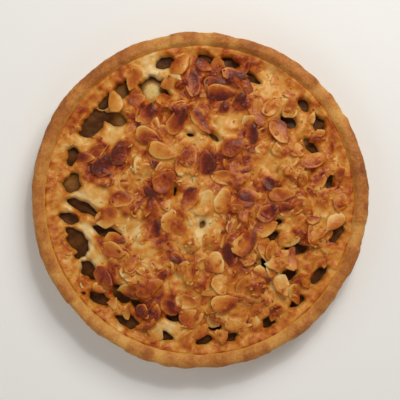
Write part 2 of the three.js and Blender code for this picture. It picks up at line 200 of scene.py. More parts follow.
# Flakes that stand out on top
TOP_FLAKES = tuple(
    NamedFlake(*row)
    for row in (
        (-66.5, 25, 21, 41, Bake.BURNT, 0.95), (-57, 33, 17, 77, Bake.BURNT),
        (-81, 30, 12, 0, Bake.RED_BROWN), (-38, 61, 17, 58, Bake.RED_BROWN),
        (-44.5, 71.5, 12, 20, Bake.BROWN), (-36.5, 45, 19, -20, Bake.BROWN),
        (-26.5, 34.5, 20, -18, Bake.GOLDEN, 0.88), (-16, 56, 21, 60, Bake.RED_BROWN, 0.84),
        (-4.5, 83, 19, 95, Bake.RED_BROWN, 0.82), (10.5, 82, 15, 5, Bake.BURNT, 1.2),
        (24.5, 89, 18, -8, Bake.RED_BROWN, 0.75), (14.5, 76, 19, 0, Bake.RED_BROWN),
        (0.5, 56, 20, -52, Bake.BROWN, 0.65), (-7.5, 32, 16, 80, Bake.BROWN, 1.1),
        (5.2, 26.4, 17, 98, Bake.BURNT, 1.05), (24, 37.5, 18, 30, Bake.RED_BROWN),
        (29, 70, 13, 70, Bake.BURNT), (18, 65.5, 11, 80, Bake.RED_BROWN), (37, 47, 14, 85, Bake.BURNT),
        (40.5, 64, 24, -70, Bake.AMBER, 0.74), (56.5, 49, 19, -60, Bake.AMBER, 1.05),
        (44.5, 36.5, 10, 20, Bake.GOLDEN), (51.5, 66, 16, 40, Bake.GOLDEN),
        (81.5, 28.5, 20, 20, Bake.AMBER, 0.85), (49.5, 11.5, 12, -55, Bake.BURNT),
        (58, 4, 18, 5, Bake.AMBER, 0.82), (35, 3.5, 16, -5, Bake.RED_BROWN, 0.92),
        (48.5, -9, 16, 35, Bake.RED_BROWN, 1.15), (71.5, 2, 12, -60, Bake.BROWN),
        (90, -7, 12, 60, Bake.GOLDEN), (16.5, -0.5, 18, 80, Bake.GOLDEN),
        (2.5, -2, 19, 60, Bake.PALE, 1.15), (-6.8, 1, 17.5, 249, Bake.RED_BROWN, 0.95),
        (-18, -17, 20, -35, Bake.AMBER, 1.25), (-32, -20, 13, 80, Bake.BURNT),
        (-33, 7, 15, -30, Bake.RED_BROWN, 1.1), (-25, 13, 18, 45, Bake.BROWN, 1.15),
        (20, 15.5, 24, -8, Bake.AMBER, 0.64), (-65.5, -12, 18, 50, Bake.AMBER, 1.15),
        (-60.5, -27.5, 15, -5, Bake.BROWN), (-61.5, -35.5, 17, -18, Bake.AMBER),
        (-55, 0.5, 17, 5, Bake.BROWN), (-48, -46, 13, 60, Bake.AMBER),
        (-36, -62, 20, 30, Bake.BROWN, 0.93), (-68.5, -54.5, 17, -40, Bake.RED_BROWN),
        (-40, -79, 12, -50, Bake.RED_BROWN), (11, -44.8, 15, -50, Bake.GOLDEN, 1.45),
        (14, -60.5, 14, -55, Bake.PALE, 1.15), (22, -38, 17, 100, Bake.BURNT, 0.8),
        (32, -30.5, 21, 50, Bake.AMBER, 1.0), (-9, -72.5, 16, -8, Bake.GOLDEN),
        (-21.5, -76, 15, -45, Bake.RED_BROWN), (-6, -84, 17, 20, Bake.AMBER, 1.25),
        (17.5, -73, 19, 15, Bake.AMBER), (24.5, -88.5, 13, 0, Bake.GOLDEN),
    )
)

# Smaller pieces of almond tucked in between them
TUCKED_FLAKES = tuple(
    NamedFlake(*row)
    for row in (
        (-13, 64.5, 12, 30, Bake.AMBER), (5.5, 50, 11, 10, Bake.BROWN), (31, 40.5, 7, 20, Bake.PALE),
        (54, 37, 10, -30, Bake.PALE), (63.5, 64.5, 13, 70, Bake.AMBER),
        (31.5, 30.5, 9, 0, Bake.RED_BROWN), (60, -4.5, 11, 10, Bake.RED_BROWN),
        (26, -5.5, 9, 20, Bake.GOLDEN), (-51, -7, 10, 30, Bake.AMBER), (-32, 25.5, 8, 15, Bake.BURNT),
        (-31, -79.5, 11, 80, Bake.BROWN), (-26.5, -55, 9, 30, Bake.RED_BROWN),
        (-15.5, -41, 11, -20, Bake.RED_BROWN), (-6, -33.5, 12, 10, Bake.GOLDEN),
        (-7.5, -50, 20, 84, Bake.GOLDEN, 0.45), (-2.5, -49, 18, 88, Bake.AMBER, 0.45),
        (68.5, 22.5, 20, 22, Bake.AMBER, 0.5),
    )
)

# Pools where sugar has run over everything: x, y, radius, how deep in millimetres
SUGAR_POOLS = (
    (50, 25, 12, 1.2), (70, 50.5, 7, 0.8), (80, 36, 9, 1.0), (90, 28, 7, 0.8), (-4, 45, 8, 0.8),
    (18.5, 54, 9, 1.0), (2, -19, 10, 1.0), (-14.5, -60, 8, 0.8), (-61, 46, 8, 0.8), (-60, 14, 10, 0.7),
    (-30, 93, 9, 0.8), (45, 80, 9, 0.8), (-76, 3, 11, 0.8), (-75, -40, 9, 0.8), (-79, -22, 8, 0.8),
    (-38, -36, 11, 1.0), (-21, -33, 8, 0.7),
)


class RandomSource:
    """Random numbers from 0 to 1 by the rule that the solids use, so that both agree."""

    def __init__(self, seed: int) -> None:
        """Starts the row of numbers at a seed."""
        self.state = seed

    def __call__(self) -> float:
        """Returns the next number."""
        self.state = (self.state * 1664525 + 1013904223) & 0xFFFFFFFF
        return self.state / 4294967296


def between(low: float, high: float, share: float) -> float:
    """Returns the value a share of the way from low to high."""
    return low + (high - low) * share


def random_spot(random: RandomSource, reach: float) -> Spot:
    """Returns a place drawn evenly from the disc of a radius round the middle."""
    radius = reach * math.sqrt(random())
    angle = random() * TAU
    return radius * math.cos(angle), radius * math.sin(angle)


def smoothstep(low: float, high: float, value: np.ndarray) -> np.ndarray:
    """Returns 0 below low, 1 above high and an S curve between."""
    share = np.clip((value - low) / (high - low), 0, 1)
    return share * share * (3 - 2 * share)


class Lumps:
    """A soft unevenness from about -1 to 1: waves of several lengths and headings added up."""

    def __init__(self, seed: int, waves: int, longest: float, shortest: float) -> None:
        """Draws the waves.

        Args:
            seed: Start of the random numbers.
            waves: How many waves are added.
            longest: Longest wave, in millimetres.
            shortest: Shortest wave.
        """
        random = RandomSource(seed)
        self.waves: list[tuple[float, float, float]] = []
        for i in range(waves):
            length = between(longest, shortest, i / (waves - 1))
            heading = random() * TAU
            phase = random() * TAU
            number = TAU / length
            self.waves.append((math.cos(heading) * number, math.sin(heading) * number, phase))
        self.scale = math.sqrt(2 / waves) / 1.4

    def __call__(self, x: np.ndarray, y: np.ndarray) -> np.ndarray:
        """Returns the unevenness at points."""
        total = np.zeros_like(np.asarray(x, dtype=float))
        for kx, ky, phase in self.waves:
            total += np.sin(kx * x + ky * y + phase)
        return total * self.scale


@dataclass
class NetPlan:
    """Where the net of dough is open, where sugar has closed it, and how high it stands."""

    pitch_along: float = 24.0
    pitch_across: float = 15.0
    turn: float = 24.0
    cell_length: float = 15.0
    cell_width: float = 8.0
    edge_cells: int = 24
    edge_radius: float = 100.5
    edge_length: float = 14.0
    open_share: float = 0.65
    closed_dip: float = 1.1
    least_size: float = 0.75
    most_size: float = 1.2
    swing: float = 18.0
    jitter: float = 3.0
    room: float = 7.0
    named_radius: float = 93.0
    quarter_left: float = 44.0
    quarter_top: float = -22.0
    openings: list[Opening] = field(default_factory=list)
    closed: list[Opening] = field(default_factory=list)

    def __post_init__(self) -> None:
        """Lays the cells of the net in rows and along the rim, and sorts them."""
        random = RandomSource(SOLID_SEED)
        cells: list[tuple[Opening, bool]] = []

        def add(x: float, y: float, length: float, turn: float) -> None:
            """Draws one cell's size, turn and whether it is open."""
            size = between(self.least_size, self.most_size, random())
            swing = between(-self.swing, self.swing, random())
            is_open = random() < self.open_share
            cells.append((Opening(x, y, length * size, self.cell_width * size, turn + swing), is_open))

        cos, sin = math.cos(math.radians(self.turn)), math.sin(math.radians(self.turn))
        reach = math.ceil(TART_RADIUS / self.pitch_across)
        for row in range(-reach, reach + 1):
            for column in range(-reach, reach + 1):
                along = (column + (0 if row % 2 == 0 else 0.5)) * self.pitch_along
                across = row * self.pitch_across
                x, y = along * cos - across * sin, along * sin + across * cos
                if math.hypot(x, y) < self.edge_radius - self.pitch_across:
                    add(x, y, self.cell_length, self.turn)
        for i in range(self.edge_cells):
            degrees = i * 360 / self.edge_cells + between(-self.jitter, self.jitter, random())
            angle = math.radians(degrees)
            x, y = self.edge_radius * math.cos(angle), self.edge_radius * math.sin(angle)
            add(x, y, self.edge_length, degrees + 90)
        self.openings = list(NAMED_OPENINGS)
        for cell, is_open in cells:
            spaces = (math.hypot(cell.x - o.x, cell.y - o.y) - o.length / 2 for o in NAMED_OPENINGS)
            if min(spaces) <= self.room:
                continue
            if is_open and self.unnamed(cell):
                self.openings.append(cell)
            else:
                self.closed.append(cell)
        self.lumps = Lumps(11, 9, 60, 11)
        self.wobble = Lumps(21, 7, 13, 5)

    def unnamed(self, cell: Opening) -> bool:
        """Says whether a cell lies where no opening is named."""
        corner = cell.x > self.quarter_left and cell.y < self.quarter_top
        return math.hypot(cell.x, cell.y) > self.named_radius or corner

    def top(self, x: np.ndarray, y: np.ndarray) -> np.ndarray:
        """Returns the height of the net's top, in millimetres."""
        share = np.minimum(1, np.hypot(x, y) / NET_RADIUS)
        height = NET_EDGE_TOP + NET_RISE * (1 - share**4) + NET_LUMP * self.lumps(x, y)
        for cell in self.closed:
            height = height - self.closed_dip * np.exp(-(cell.depth(x, y) ** 2))
        return height

    def near_opening(self, x: float, y: float) -> bool:
        """Says whether a point is inside an opening or just beside it."""
        return any(float(o.depth(x, y)) < STRAY for o in self.openings)

    def clearance(self, x: np.ndarray, y: np.ndarray) -> np.ndarray:
        """Measures how far points lie from the nearest opening.

        Args:
            x: Places to the right.
            y: Places away from the viewer.

        Returns:
            Millimetres, more than 0 on the dough and less inside an opening.
        """
        step, power, sharpness = 0.05, 1.7, 1.6
        ragged = 1 + between(0.09, 0.17, smoothstep(90, 98, np.hypot(x, y))) * self.wobble(x, y)
        total = np.zeros_like(x)
        for o in self.openings:
            here = o.depth(x, y, power)
            slope_x = (o.depth(x + step, y, power) - here) / step
            slope_y = (o.depth(x, y + step, power) - here) / step
            slope = np.maximum(np.hypot(slope_x, slope_y), 0.02)
            away = (here * ragged - 1) / slope
            total += np.exp(-sharpness * np.clip(away, -12, 12))
        return -np.log(total + 1e-9) / sharpness


class FlakeShape(Enum):
    """How a flake has curled in the oven: rise of its ends, rise of its sides, twist, in millimetres."""

    CUPPED = (0.9, 0.8, 0.0)
    DOMED = (-0.7, -0.5, 0.2)
    FLAT = (0.25, 0.1, 0.3)
    TROUGH = (0.2, 1.2, -0.3)
    CURLED = (1.3, 0.2, 0.5)
    WARPED = (0.6, -0.5, -0.8)


# Rings of a blank from the top's middle round to the underside: share of the outline, level
FINE_RINGS = ((0.4, 0.5), (0.72, 0.5), (0.94, 0.42), (1.0, 0.1), (1.02, -0.45), (0.7, -0.6))
PLAIN_RINGS = ((0.5, 0.5), (0.92, 0.42), (1.0, 0.05), (1.05, -0.7))
CRUMB_RINGS = ((0.75, 0.5), (1.0, 0.0), (0.8, -0.5))


@dataclass
class FlakePattern:
    """The blank that a kind of flake is cut to, one unit long, with its thickness in millimetres."""

    shape: FlakeShape
    seed: int
    broken: float = 0.0
    split: float = 0.0
    thickness: float = 0.78
    rough: float = 0.035
    crumple: float = 0.18

    def build(self, name: str, around: int, rings: Sequence[tuple[float, float]]) -> bpy.types.Object:
        """Returns the blank as an object that is in no scene.

        Args:
            name: Name of the object.
            around: How many points its outline has.
            rings: Share of the outline and level of each ring.

        Returns:
            The blank, its outline an almond's with an uneven edge.
        """
        random = RandomSource(self.seed)
        angles = np.arange(around) * TAU / around
        ragged = np.ones(around)
        for wave in (2, 3, 5, 7):
            phase = random() * TAU
            ragged += self.rough * between(0.5, 1.3, random()) * np.cos(wave * angles + phase)
        ragged += np.array([between(-0.6, 0.6, random()) for _ in angles]) * self.rough
        point = 1 + 0.1 * np.maximum(np.cos(angles), 0) ** 6
        across = np.sin(angles) * (1 - POINTED * np.cos(angles)) * ragged
        along = np.cos(angles) * point * ragged
        if self.broken:
            along = np.maximum(along, -self.broken + 0.12 * np.sin(5 * across))
        if self.split:
            across = np.maximum(across, -self.split + 0.08 * np.sin(4 * along))
        points, rim, grain = [], [], []
        for share, level in rings:
            u, v = along * share, across * share
            height = self.bend(u, v) + level * self.thickness
            points.append(np.column_stack([u / 2, v * WIDTH_SHARE / 2, height]))
            rim.append(np.full(around, share if level > -0.2 else 0.8))
            grain.append(np.column_stack([u, v, np.full(around, random())]))
        middle = self.bend(0, 0)
        centre = [[0, 0, middle + level * self.thickness] for level in (0.5, -0.5)]
        points = np.vstack(points + [centre])
        rim = np.concatenate(rim + [np.array([0.0, 0.0])])
        grain = np.vstack(grain + [np.zeros((2, 3))])
        faces = []
        last = (len(rings) - 1) * around
        for j in range(around):
            k = (j + 1) % around
            faces.append((len(points) - 2, j, k))
            faces.append((len(points) - 1, last + k, last + j))
            for i in range(len(rings) - 1):
                a, b = i * around, (i + 1) * around
                faces.append((a + j, b + j, b + k, a + k))
        blank = make_piece(name, points / MM, faces, {"rim": rim, "grain": grain})
        bpy.context.scene.collection.objects.unlink(blank)
        return blank

    def bend(self, u: np.ndarray | float, v: np.ndarray | float) -> np.ndarray | float:
        """Returns the flake's curl at a place given in half lengths and half widths."""
        ends, sides, twist = self.shape.value
        curl = ends * u * u + sides * v * v + twist * u * v - 0.3 * (ends + sides)
        return curl + self.crumple * np.sin(4.1 * u + 2.7 * v)


PATTERNS = tuple(
    [FlakePattern(shape, 71 + i) for i, shape in enumerate(FlakeShape)]
    + [FlakePattern(shape, 91 + i, rough=0.06, crumple=0.34) for i, shape in enumerate(FlakeShape)]
    + [FlakePattern(FlakeShape.CUPPED, 111, broken=0.25), FlakePattern(FlakeShape.FLAT, 112, broken=0.5)]
    + [FlakePattern(FlakeShape.TROUGH, 113, split=0.15), FlakePattern(FlakeShape.WARPED, 114, split=0.4)]
)
WHOLE = len(FlakeShape)
CRUMB_PATTERNS = tuple(
    FlakePattern(shape, 131 + i, thickness=0.8, rough=0.17, crumple=0.1)
    for i, shape in enumerate(FlakeShape)
)


@dataclass
class Flake:
    """One almond flake where it came to rest.

    Attributes:
        x: Middle, to the right.
        y: Middle, away from the viewer.
        length: Length along the flake.
        width: Width across it.
        turn: Turn from +X, in degrees.
        slope_u: Rise from the middle to the pointed end.
        slope_v: Rise from the middle to the side.
        rest: Height of the underside's middle.
        bake: How far it is baked, 0 to 1.
        kind: Number of the blank that it is cut to.
        puff: Thickness as a factor.
    """

    x: float
    y: float
    length: float
    width: float
    turn: float
    slope_u: float
    slope_v: float
    rest: float
    bake: float = 0.5
    kind: int = 0
    puff: float = 1.0


@dataclass
class Settling:
    """A map of how high the surface stands, on which flakes come down one after another."""

    plan: NetPlan
    sink: float = 0.9
    proud: float = 0.3
    steepest: float = 0.38
    crowd: float = 2.0
    press: float = 0.62
    feet_at: tuple[float, ...] = (-0.8, -0.4, 0.0, 0.4, 0.8)

    def __post_init__(self) -> None:
        """Starts from the bare net and the filling in its openings."""
        self.size = int(round(TART_RADIUS * 2)) + 1
        axis = np.arange(self.size) - TART_RADIUS
        x, y = np.meshgrid(axis, axis)
        self.bare = self.plan.top(x, y)
        self.heights = self.bare.copy()
        for opening in self.plan.openings:
            self.heights[opening.depth(x, y) < 1] = FILLING_TOP
        places = [(u, v) for u in self.feet_at for v in self.feet_at]
        self.feet = np.array([place for place in places if math.hypot(*place) < 0.95])

    def index(self, x: np.ndarray, y: np.ndarray) -> tuple[np.ndarray, np.ndarray]:
        """Returns the rows and columns of the map under points."""
        column = np.floor(np.asarray(x) + TART_RADIUS + 0.5).astype(int)
        row = np.floor(np.asarray(y) + TART_RADIUS + 0.5).astype(int)
        return np.clip(row, 0, self.size - 1), np.clip(column, 0, self.size - 1)

    def lay(
        self,
        x: float,
        y: float,
        length: float,
        turn: float,
        bake: float,
        slim: float = 1.0,
        tilt: float = 0.0,
        stands_out: bool = False,
    ) -> Flake:
        """Lets a flake down on the surface, where it takes the slope of what is under it.

        Args:
            x: Middle, to the right.
            y: Middle, away from the viewer.
            length: Length of the flake.
            turn: Turn from +X, in degrees.
            bake: How far it is baked.
            slim: Width as a factor of the usual one.
            tilt: Slope to the side on top of that of the ground.
            stands_out: Whether it is whole and lies on top of a crowd that isn't pressed together.

        Returns:
            The flake at rest.
        """
        a, b = length / 2, length * WIDTH_SHARE * slim / 2
        cos, sin = math.cos(math.radians(turn)), math.sin(math.radians(turn))
        u, v = self.feet[:, 0], self.feet[:, 1]
        heights = self.heights[self.index(x + u * a * cos - v * b * sin, y + u * a * sin + v * b * cos)]
        slope_u, slope_v = (
            float(np.clip((w * heights).sum() / (w * w).sum(), -self.steepest * half, self.steepest * half))
            for w, half in ((u, a), (v, b))
        )
        sink = self.sink - (self.proud if stands_out else 0)
        rest = float((heights - slope_u * u - slope_v * v).max()) - sink
        level = float(self.bare[self.index(x, y)]) + self.crowd
        if rest > level and not stands_out:
            rest = level + self.press * (rest - level)
        s, t = np.meshgrid(np.arange(-a, a + 0.01, 0.5) / a, np.arange(-b, b + 0.01, 0.5) / b)
        s, t = s[np.hypot(s, t) < 1], t[np.hypot(s, t) < 1]
        rows, columns = self.index(x + s * a * cos - t * b * sin, y + s * a * sin + t * b * cos)
        np.maximum.at(self.heights, (rows, columns), rest + slope_u * s + slope_v * t + FLAKE_THICKNESS)
        draw = RandomSource(int(abs(x * 613 + y * 271 + turn) * 16))
        draw()
        kind, puff = int(draw() * (WHOLE if stands_out else len(PATTERNS))), between(0.8, 1.2, draw())
        return Flake(x, y, length, 2 * b, turn, slope_u, slope_v + tilt * b, rest, bake, kind, puff)


@dataclass
class BakeMap:
    """How far each place of the top is baked, taken from the flakes that stand out there."""

    usual: float = 0.45
    flake_spread: float = 0.36
    patch_spread: float = 0.75
    push: float = 5.0

    def __post_init__(self) -> None:
        """Gathers the named places."""
        flakes = TOP_FLAKES + TUCKED_FLAKES
        self.places = [(f.x, f.y, f.length * self.flake_spread, f.bake.value) for f in flakes]
        patches = BARE_DOUGH + SUGAR_TONES
        self.places += [(x, y, radius * self.patch_spread, bake) for x, y, radius, bake in patches]
        self.lumps = Lumps(31, 12, 46, 7)
        self.push_x, self.push_y = Lumps(32, 9, 16, 4), Lumps(33, 9, 16, 4)

    def __call__(self, x: np.ndarray, y: np.ndarray, sharp: float = 1.0) -> np.ndarray:
        """Measures the bake.

        Args:
            x: Places to the right.
            y: Places away from the viewer.
            sharp: 1 for soft patches, less for smaller ones with ragged outlines.

        Returns:
            The bake, from 0 to 1.
        """
        x, y = np.asarray(x, dtype=float), np.asarray(y, dtype=float)
        pushed_x = x + (1 - sharp) * self.push * self.push_x(x, y)
        pushed_y = y + (1 - sharp) * self.push * self.push_y(x, y)
        weight = np.full_like(x, 0.1)
        total = weight * self.usual
        for px, py, spread, bake in self.places:
            near = np.exp(-((pushed_x - px) ** 2 + (pushed_y - py) ** 2) / (2 * (spread * sharp) ** 2))
            weight = weight + near
            total = total + near * bake
        return np.clip(total / weight + 0.08 * self.lumps(x, y), 0, 1)


@dataclass
class AlmondLayout:
    """Lays the almond flakes: scattered ones, fillers, tucked pieces, and those that stand out."""

    plan: NetPlan
    bakes: BakeMap
    scattered: int = 70
    clumped: int = 120
    fillers: int = 60
    shortest: float = 12.5
    longest: float = 17.5
    slivers: float = 0.2
    tries: int = 9
    filler_tries: int = 10
    least_filler: float = 8.5
    most_filler: float = 17.0
    least_away: float = 7.0
    most_away: float = 12.5
    bare_left: float = -76.0
    bare_reach: float = 50.0
    seed: int = 4031

    def settle(self) -> tuple[list[Flake], list[Flake]]:
        """Lays all flakes in order.

        Returns:
            The flakes below, and the ones that stand out on top.
        """
        ground = Settling(self.plan)
        below = self.scatter(ground)
        below += self.fill(ground, below)
        for f in TUCKED_FLAKES:
            below.append(ground.lay(f.x, f.y, f.length, f.turn, f.bake.value, f.slim))
        top = []
        for f in TOP_FLAKES:
            top.append(ground.lay(f.x, f.y, f.length, f.turn, f.bake.value, f.slim, stands_out=True))
        return below, top

    @staticmethod
    def bare(x: float, y: float) -> bool:
        """Says whether a point lies on bare dough."""
        return any(math.hypot(x - bx, y - by) < radius for bx, by, radius, _ in BARE_DOUGH)

    @staticmethod
    def covers_bare(x: float, y: float, length: float) -> bool:
        """Says whether a flake of a length would hide a good part of bare dough."""
        near = ((math.hypot(x - bx, y - by), radius) for bx, by, radius, _ in BARE_DOUGH)
        return any(away < 0.8 * radius + 0.28 * length for away, radius in near)

    def scatter(self, ground: Settling) -> list[Flake]:
        """Lays flakes by the rule of the solids' scattered ones, save those over bare dough."""
        random = RandomSource(SOLID_SEED)
        taken = [(flake.x, flake.y) for flake in TOP_FLAKES]
        laid: list[Flake] = []
        while len(taken) < self.scattered + len(TOP_FLAKES):
            length = between(self.shortest, self.longest, random())
            turn = math.floor(random() * 360 + 0.5)
            best, room = (0.0, 0.0), 0.0
            for _ in range(self.tries):
                x, y = random_spot(random, FLAKE_REACH - length / 2)
                space = min(math.hypot(x - tx, y - ty) for tx, ty in taken)
                if space > room and not self.plan.near_opening(x, y) and not self.bare(x, y):
                    best, room = (x, y), space
            if room > 0:
                taken.append(best)
            if room > 0 and not self.covers_bare(best[0], best[1], length):
                bake = self.bake_of(best[0], best[1], random_from(best))
                laid.append(ground.lay(best[0], best[1], length, turn, bake))
        return laid

    def bake_of(self, x: float, y: float, share: float) -> float:
        """Returns a flake's bake: that of its place, more or less by a random share."""
        return float(np.clip(self.bakes(x, y) + between(-0.26, 0.24, share), 0.03, 1))

    def fill(self, ground: Settling, laid: Sequence[Flake]) -> list[Flake]:
        """Lays more flakes: most of them beside and over others, and some where there is room."""
        random = RandomSource(self.seed)
        hosts = [(f.x, f.y) for f in (*TOP_FLAKES, *laid)]
        extra: list[Flake] = []
        while len(extra) < self.clumped + self.fillers:
            length = between(self.least_filler, self.most_filler, random() ** 0.8)
            turn = random() * 360
            sliver = random() < self.slivers
            slim = between(0.38, 0.6, random()) if sliver else between(0.8, 1.15, random())
            place = None
            if len(extra) < self.clumped:
                host = hosts[int(random() * len(hosts))]
                away, angle = between(self.least_away, self.most_away, random()), random() * TAU
                x, y = host[0] + away * math.cos(angle), host[1] + away * math.sin(angle)
                if math.hypot(x, y) < FLAKE_REACH - length / 2:
                    place = (x, y)
            else:
                place = self.emptiest(random, hosts, length)
            if place and self.free(*place, length):
                hosts.append(place)
                bake = self.bake_of(place[0], place[1], random())
                tilt = between(-0.55, 0.55, random()) * (2 if sliver else 1)
                extra.append(ground.lay(place[0], place[1], length, turn, bake, slim, tilt))
        return extra

    def free(self, x: float, y: float, length: float) -> bool:
        """Says whether a filler may lie at a place: on dough, and not over a flake that stands out."""
        if self.plan.near_opening(x, y) or self.covers_bare(x, y, length):
            return False
        if x < self.bare_left and abs(y) < self.bare_reach:
            return False
        if any(math.hypot(x - o.x, y - o.y) < max(6.5, 0.42 * o.length) for o in NAMED_OPENINGS):
            return False
        return all(math.hypot(x - f.x, y - f.y) > 0.4 * f.length for f in TOP_FLAKES)

    def emptiest(self, random: RandomSource, hosts: Sequence[Spot], length: float) -> Spot:
        """Returns the place, of a few tried, that lies farthest from all flakes."""
        tried = []
        for _ in range(self.filler_tries):
            x, y = random_spot(random, FLAKE_REACH - length / 2)
            tried.append((min(math.hypot(x - hx, y - hy) for hx, hy in hosts), x, y))
        return max(tried)[1:]


def random_from(place: Spot) -> float:
    """Returns a random share that depends on a place alone."""
    return RandomSource(int(abs(place[0] * 977 + place[1] * 331) * 10) & 0xFFFFFFFF)()


def make_piece(
    name: str,
    points: np.ndarray,
    faces: Sequence[Sequence[int]],
    attributes: dict[str, np.ndarray] | None = None,
) -> bpy.types.Object:
    """Makes a smooth mesh object at the origin.

    Args:
        name: Name of the object.
        points: Corner points in millimetres.
        faces: Corner numbers of each face.
        attributes: Values of each corner point, by name; three columns make a vector.

    Returns:
        The object, linked to the scene.
    """
    mesh = bpy.data.meshes.new(name)
    mesh.from_pydata((np.asarray(points) * MM).tolist(), [], [list(map(int, face)) for face in faces])
    mesh.polygons.foreach_set("use_smooth", np.ones(len(mesh.polygons), dtype=bool))
    for label, values in (attributes or {}).items():
        kind, key = ("FLOAT_VECTOR", "vector") if values.ndim == 2 else ("FLOAT", "value")
        layer = mesh.attributes.new(label, kind, "POINT")
        layer.data.foreach_set(key, np.asarray(values, dtype=np.float32).ravel())
    mesh.update()
    piece = bpy.data.objects.new(name, mesh)
    bpy.context.scene.collection.objects.link(piece)
    return piece


def srgb(red: float, green: float, blue: float) -> tuple[float, float, float, float]:
    """Returns a colour given in 0 to 255 as linear light."""

    def linear(value: float) -> float:
        """Takes the display curve off one channel."""
        share = value / 255
        return share / 12.92 if share <= 0.04045 else ((share + 0.055) / 1.055) ** 2.4

    return (linear(red), linear(green), linear(blue), 1.0)


class NodeKit:
    """Short ways to add and join the nodes of one material."""

    def __init__(self, name: str) -> None:
        """Starts a material with a Principled shader."""
        self.material = bpy.data.materials.new(name)
        self.material.use_nodes = True
        self.nodes = self.material.node_tree.nodes
        self.links = self.material.node_tree.links
        self.shader = self.nodes["Principled BSDF"]
        coordinates = self.nodes.new("ShaderNodeTexCoord")
        self.place = coordinates.outputs["Object"]

    def set(self, **values: float | tuple[float, ...]) -> None:
        """Sets constants on the shader; an underscore in a name stands for a space."""
        for name, value in values.items():
            self.shader.inputs[name.replace("_", " ")].default_value = value

    def link(self, source: Socket, target: Socket) -> None:
        """Joins an output to an input."""
        self.links.new(source, target)

    def attribute(self, name: str, output: str = "Fac") -> Socket:
        """Returns an attribute of the mesh."""
        node = self.nodes.new("ShaderNodeAttribute")
        node.attribute_name = name
        return node.outputs[output]

    def noise(
        self,
        size: float,
        detail: float = 3.0,
        rough: float = 0.55,
        place: Socket | None = None,
    ) -> Socket:
        """Adds a noise.

        Args:
            size: Size of its patches, in millimetres.
            detail: Finer layers in it.
            rough: Strength of the finer layers.
            place: Coordinates, or None for the object's.

        Returns:
            The noise's value, from 0 to 1.
        """
        node = self.nodes.new("ShaderNodeTexNoise")
        node.inputs["Scale"].default_value = 1 / (size * MM)
        node.inputs["Detail"].default_value = detail
        node.inputs["Roughness"].default_value = rough
        self.link(place or self.place, node.inputs["Vector"])
        return node.outputs["Fac"]

    def cells(self, size: float) -> Socket:
        """Returns the distance in a pattern of cells of a size in millimetres."""
        node = self.nodes.new("ShaderNodeTexVoronoi")
        node.inputs["Scale"].default_value = 1 / (size * MM)
        self.link(self.place, node.inputs["Vector"])
        return node.outputs["Distance"]

    def math(
        self,
        operation: str,
        first: Value,
        second: Value = 0.0,
        third: Value = 0.0,
        clamp: bool = False,
    ) -> Socket:
        """Adds a Math node on sockets or numbers and returns its value."""
        node = self.nodes.new("ShaderNodeMath")
        node.operation = operation
        node.use_clamp = clamp
        for socket, value in zip(node.inputs, (first, second, third)):
            if isinstance(value, Socket):
                self.link(value, socket)
            else:
                socket.default_value = value
        return node.outputs[0]

    def scaled(self, value: Value, gain: float, offset: float, clamp: bool = False) -> Socket:
        """Returns a value times a gain plus an offset."""
        return self.math("MULTIPLY_ADD", value, gain, offset, clamp)

    def ramp(self, value: Socket, stops: Stops) -> Socket:
        """Turns a value into a colour.

        Args:
            value: From 0 to 1.
            stops: Places and their colours, 0 to 255.

        Returns:
            The colour.
        """
        node = self.nodes.new("ShaderNodeValToRGB")
        elements = node.color_ramp.elements
        for i, (place, colour) in enumerate(stops):
            element = elements[i] if i < 2 else elements.new(place)
            element.position = place
            element.color = srgb(*colour)
        self.link(value, node.inputs["Fac"])
        return node.outputs["Color"]

    def mix(
        self,
        share: Value,
        first: Socket | tuple[float, ...],
        second: Socket | tuple[float, ...],
    ) -> Socket:
        """Mixes two colours by a share and returns the result."""
        node = self.nodes.new("ShaderNodeMix")
        node.data_type = "RGBA"
        for socket, value in ((node.inputs[0], share), (node.inputs[6], first), (node.inputs[7], second)):
            if isinstance(value, Socket):
                self.link(value, socket)
            else:
                socket.default_value = value
        return node.outputs[2]

    def bump(self, height: Socket, depth: float, after: Socket | None = None) -> Socket:
        """Adds relief.

        Args:
            height: From 0 to 1.
            depth: Depth of the relief, in millimetres.
            after: A normal that it builds on.

        Returns:
            The new normal.
        """
        node = self.nodes.new("ShaderNodeBump")
        node.inputs["Strength"].default_value = 1.0
        node.inputs["Distance"].default_value = depth * MM
        self.link(height, node.inputs["Height"])
        if after is not None:
            self.link(after, node.inputs["Normal"])
        return node.outputs["Normal"]

    def finish(
        self,
        colour: Socket,
        roughness: Socket,
        normal: Socket,
    ) -> bpy.types.Material:
        """Joins colour, roughness and relief to the shader and returns the material."""
        self.link(colour, self.shader.inputs["Base Color"])
        self.link(roughness, self.shader.inputs["Roughness"])
        self.link(normal, self.shader.inputs["Normal"])
        return self.material


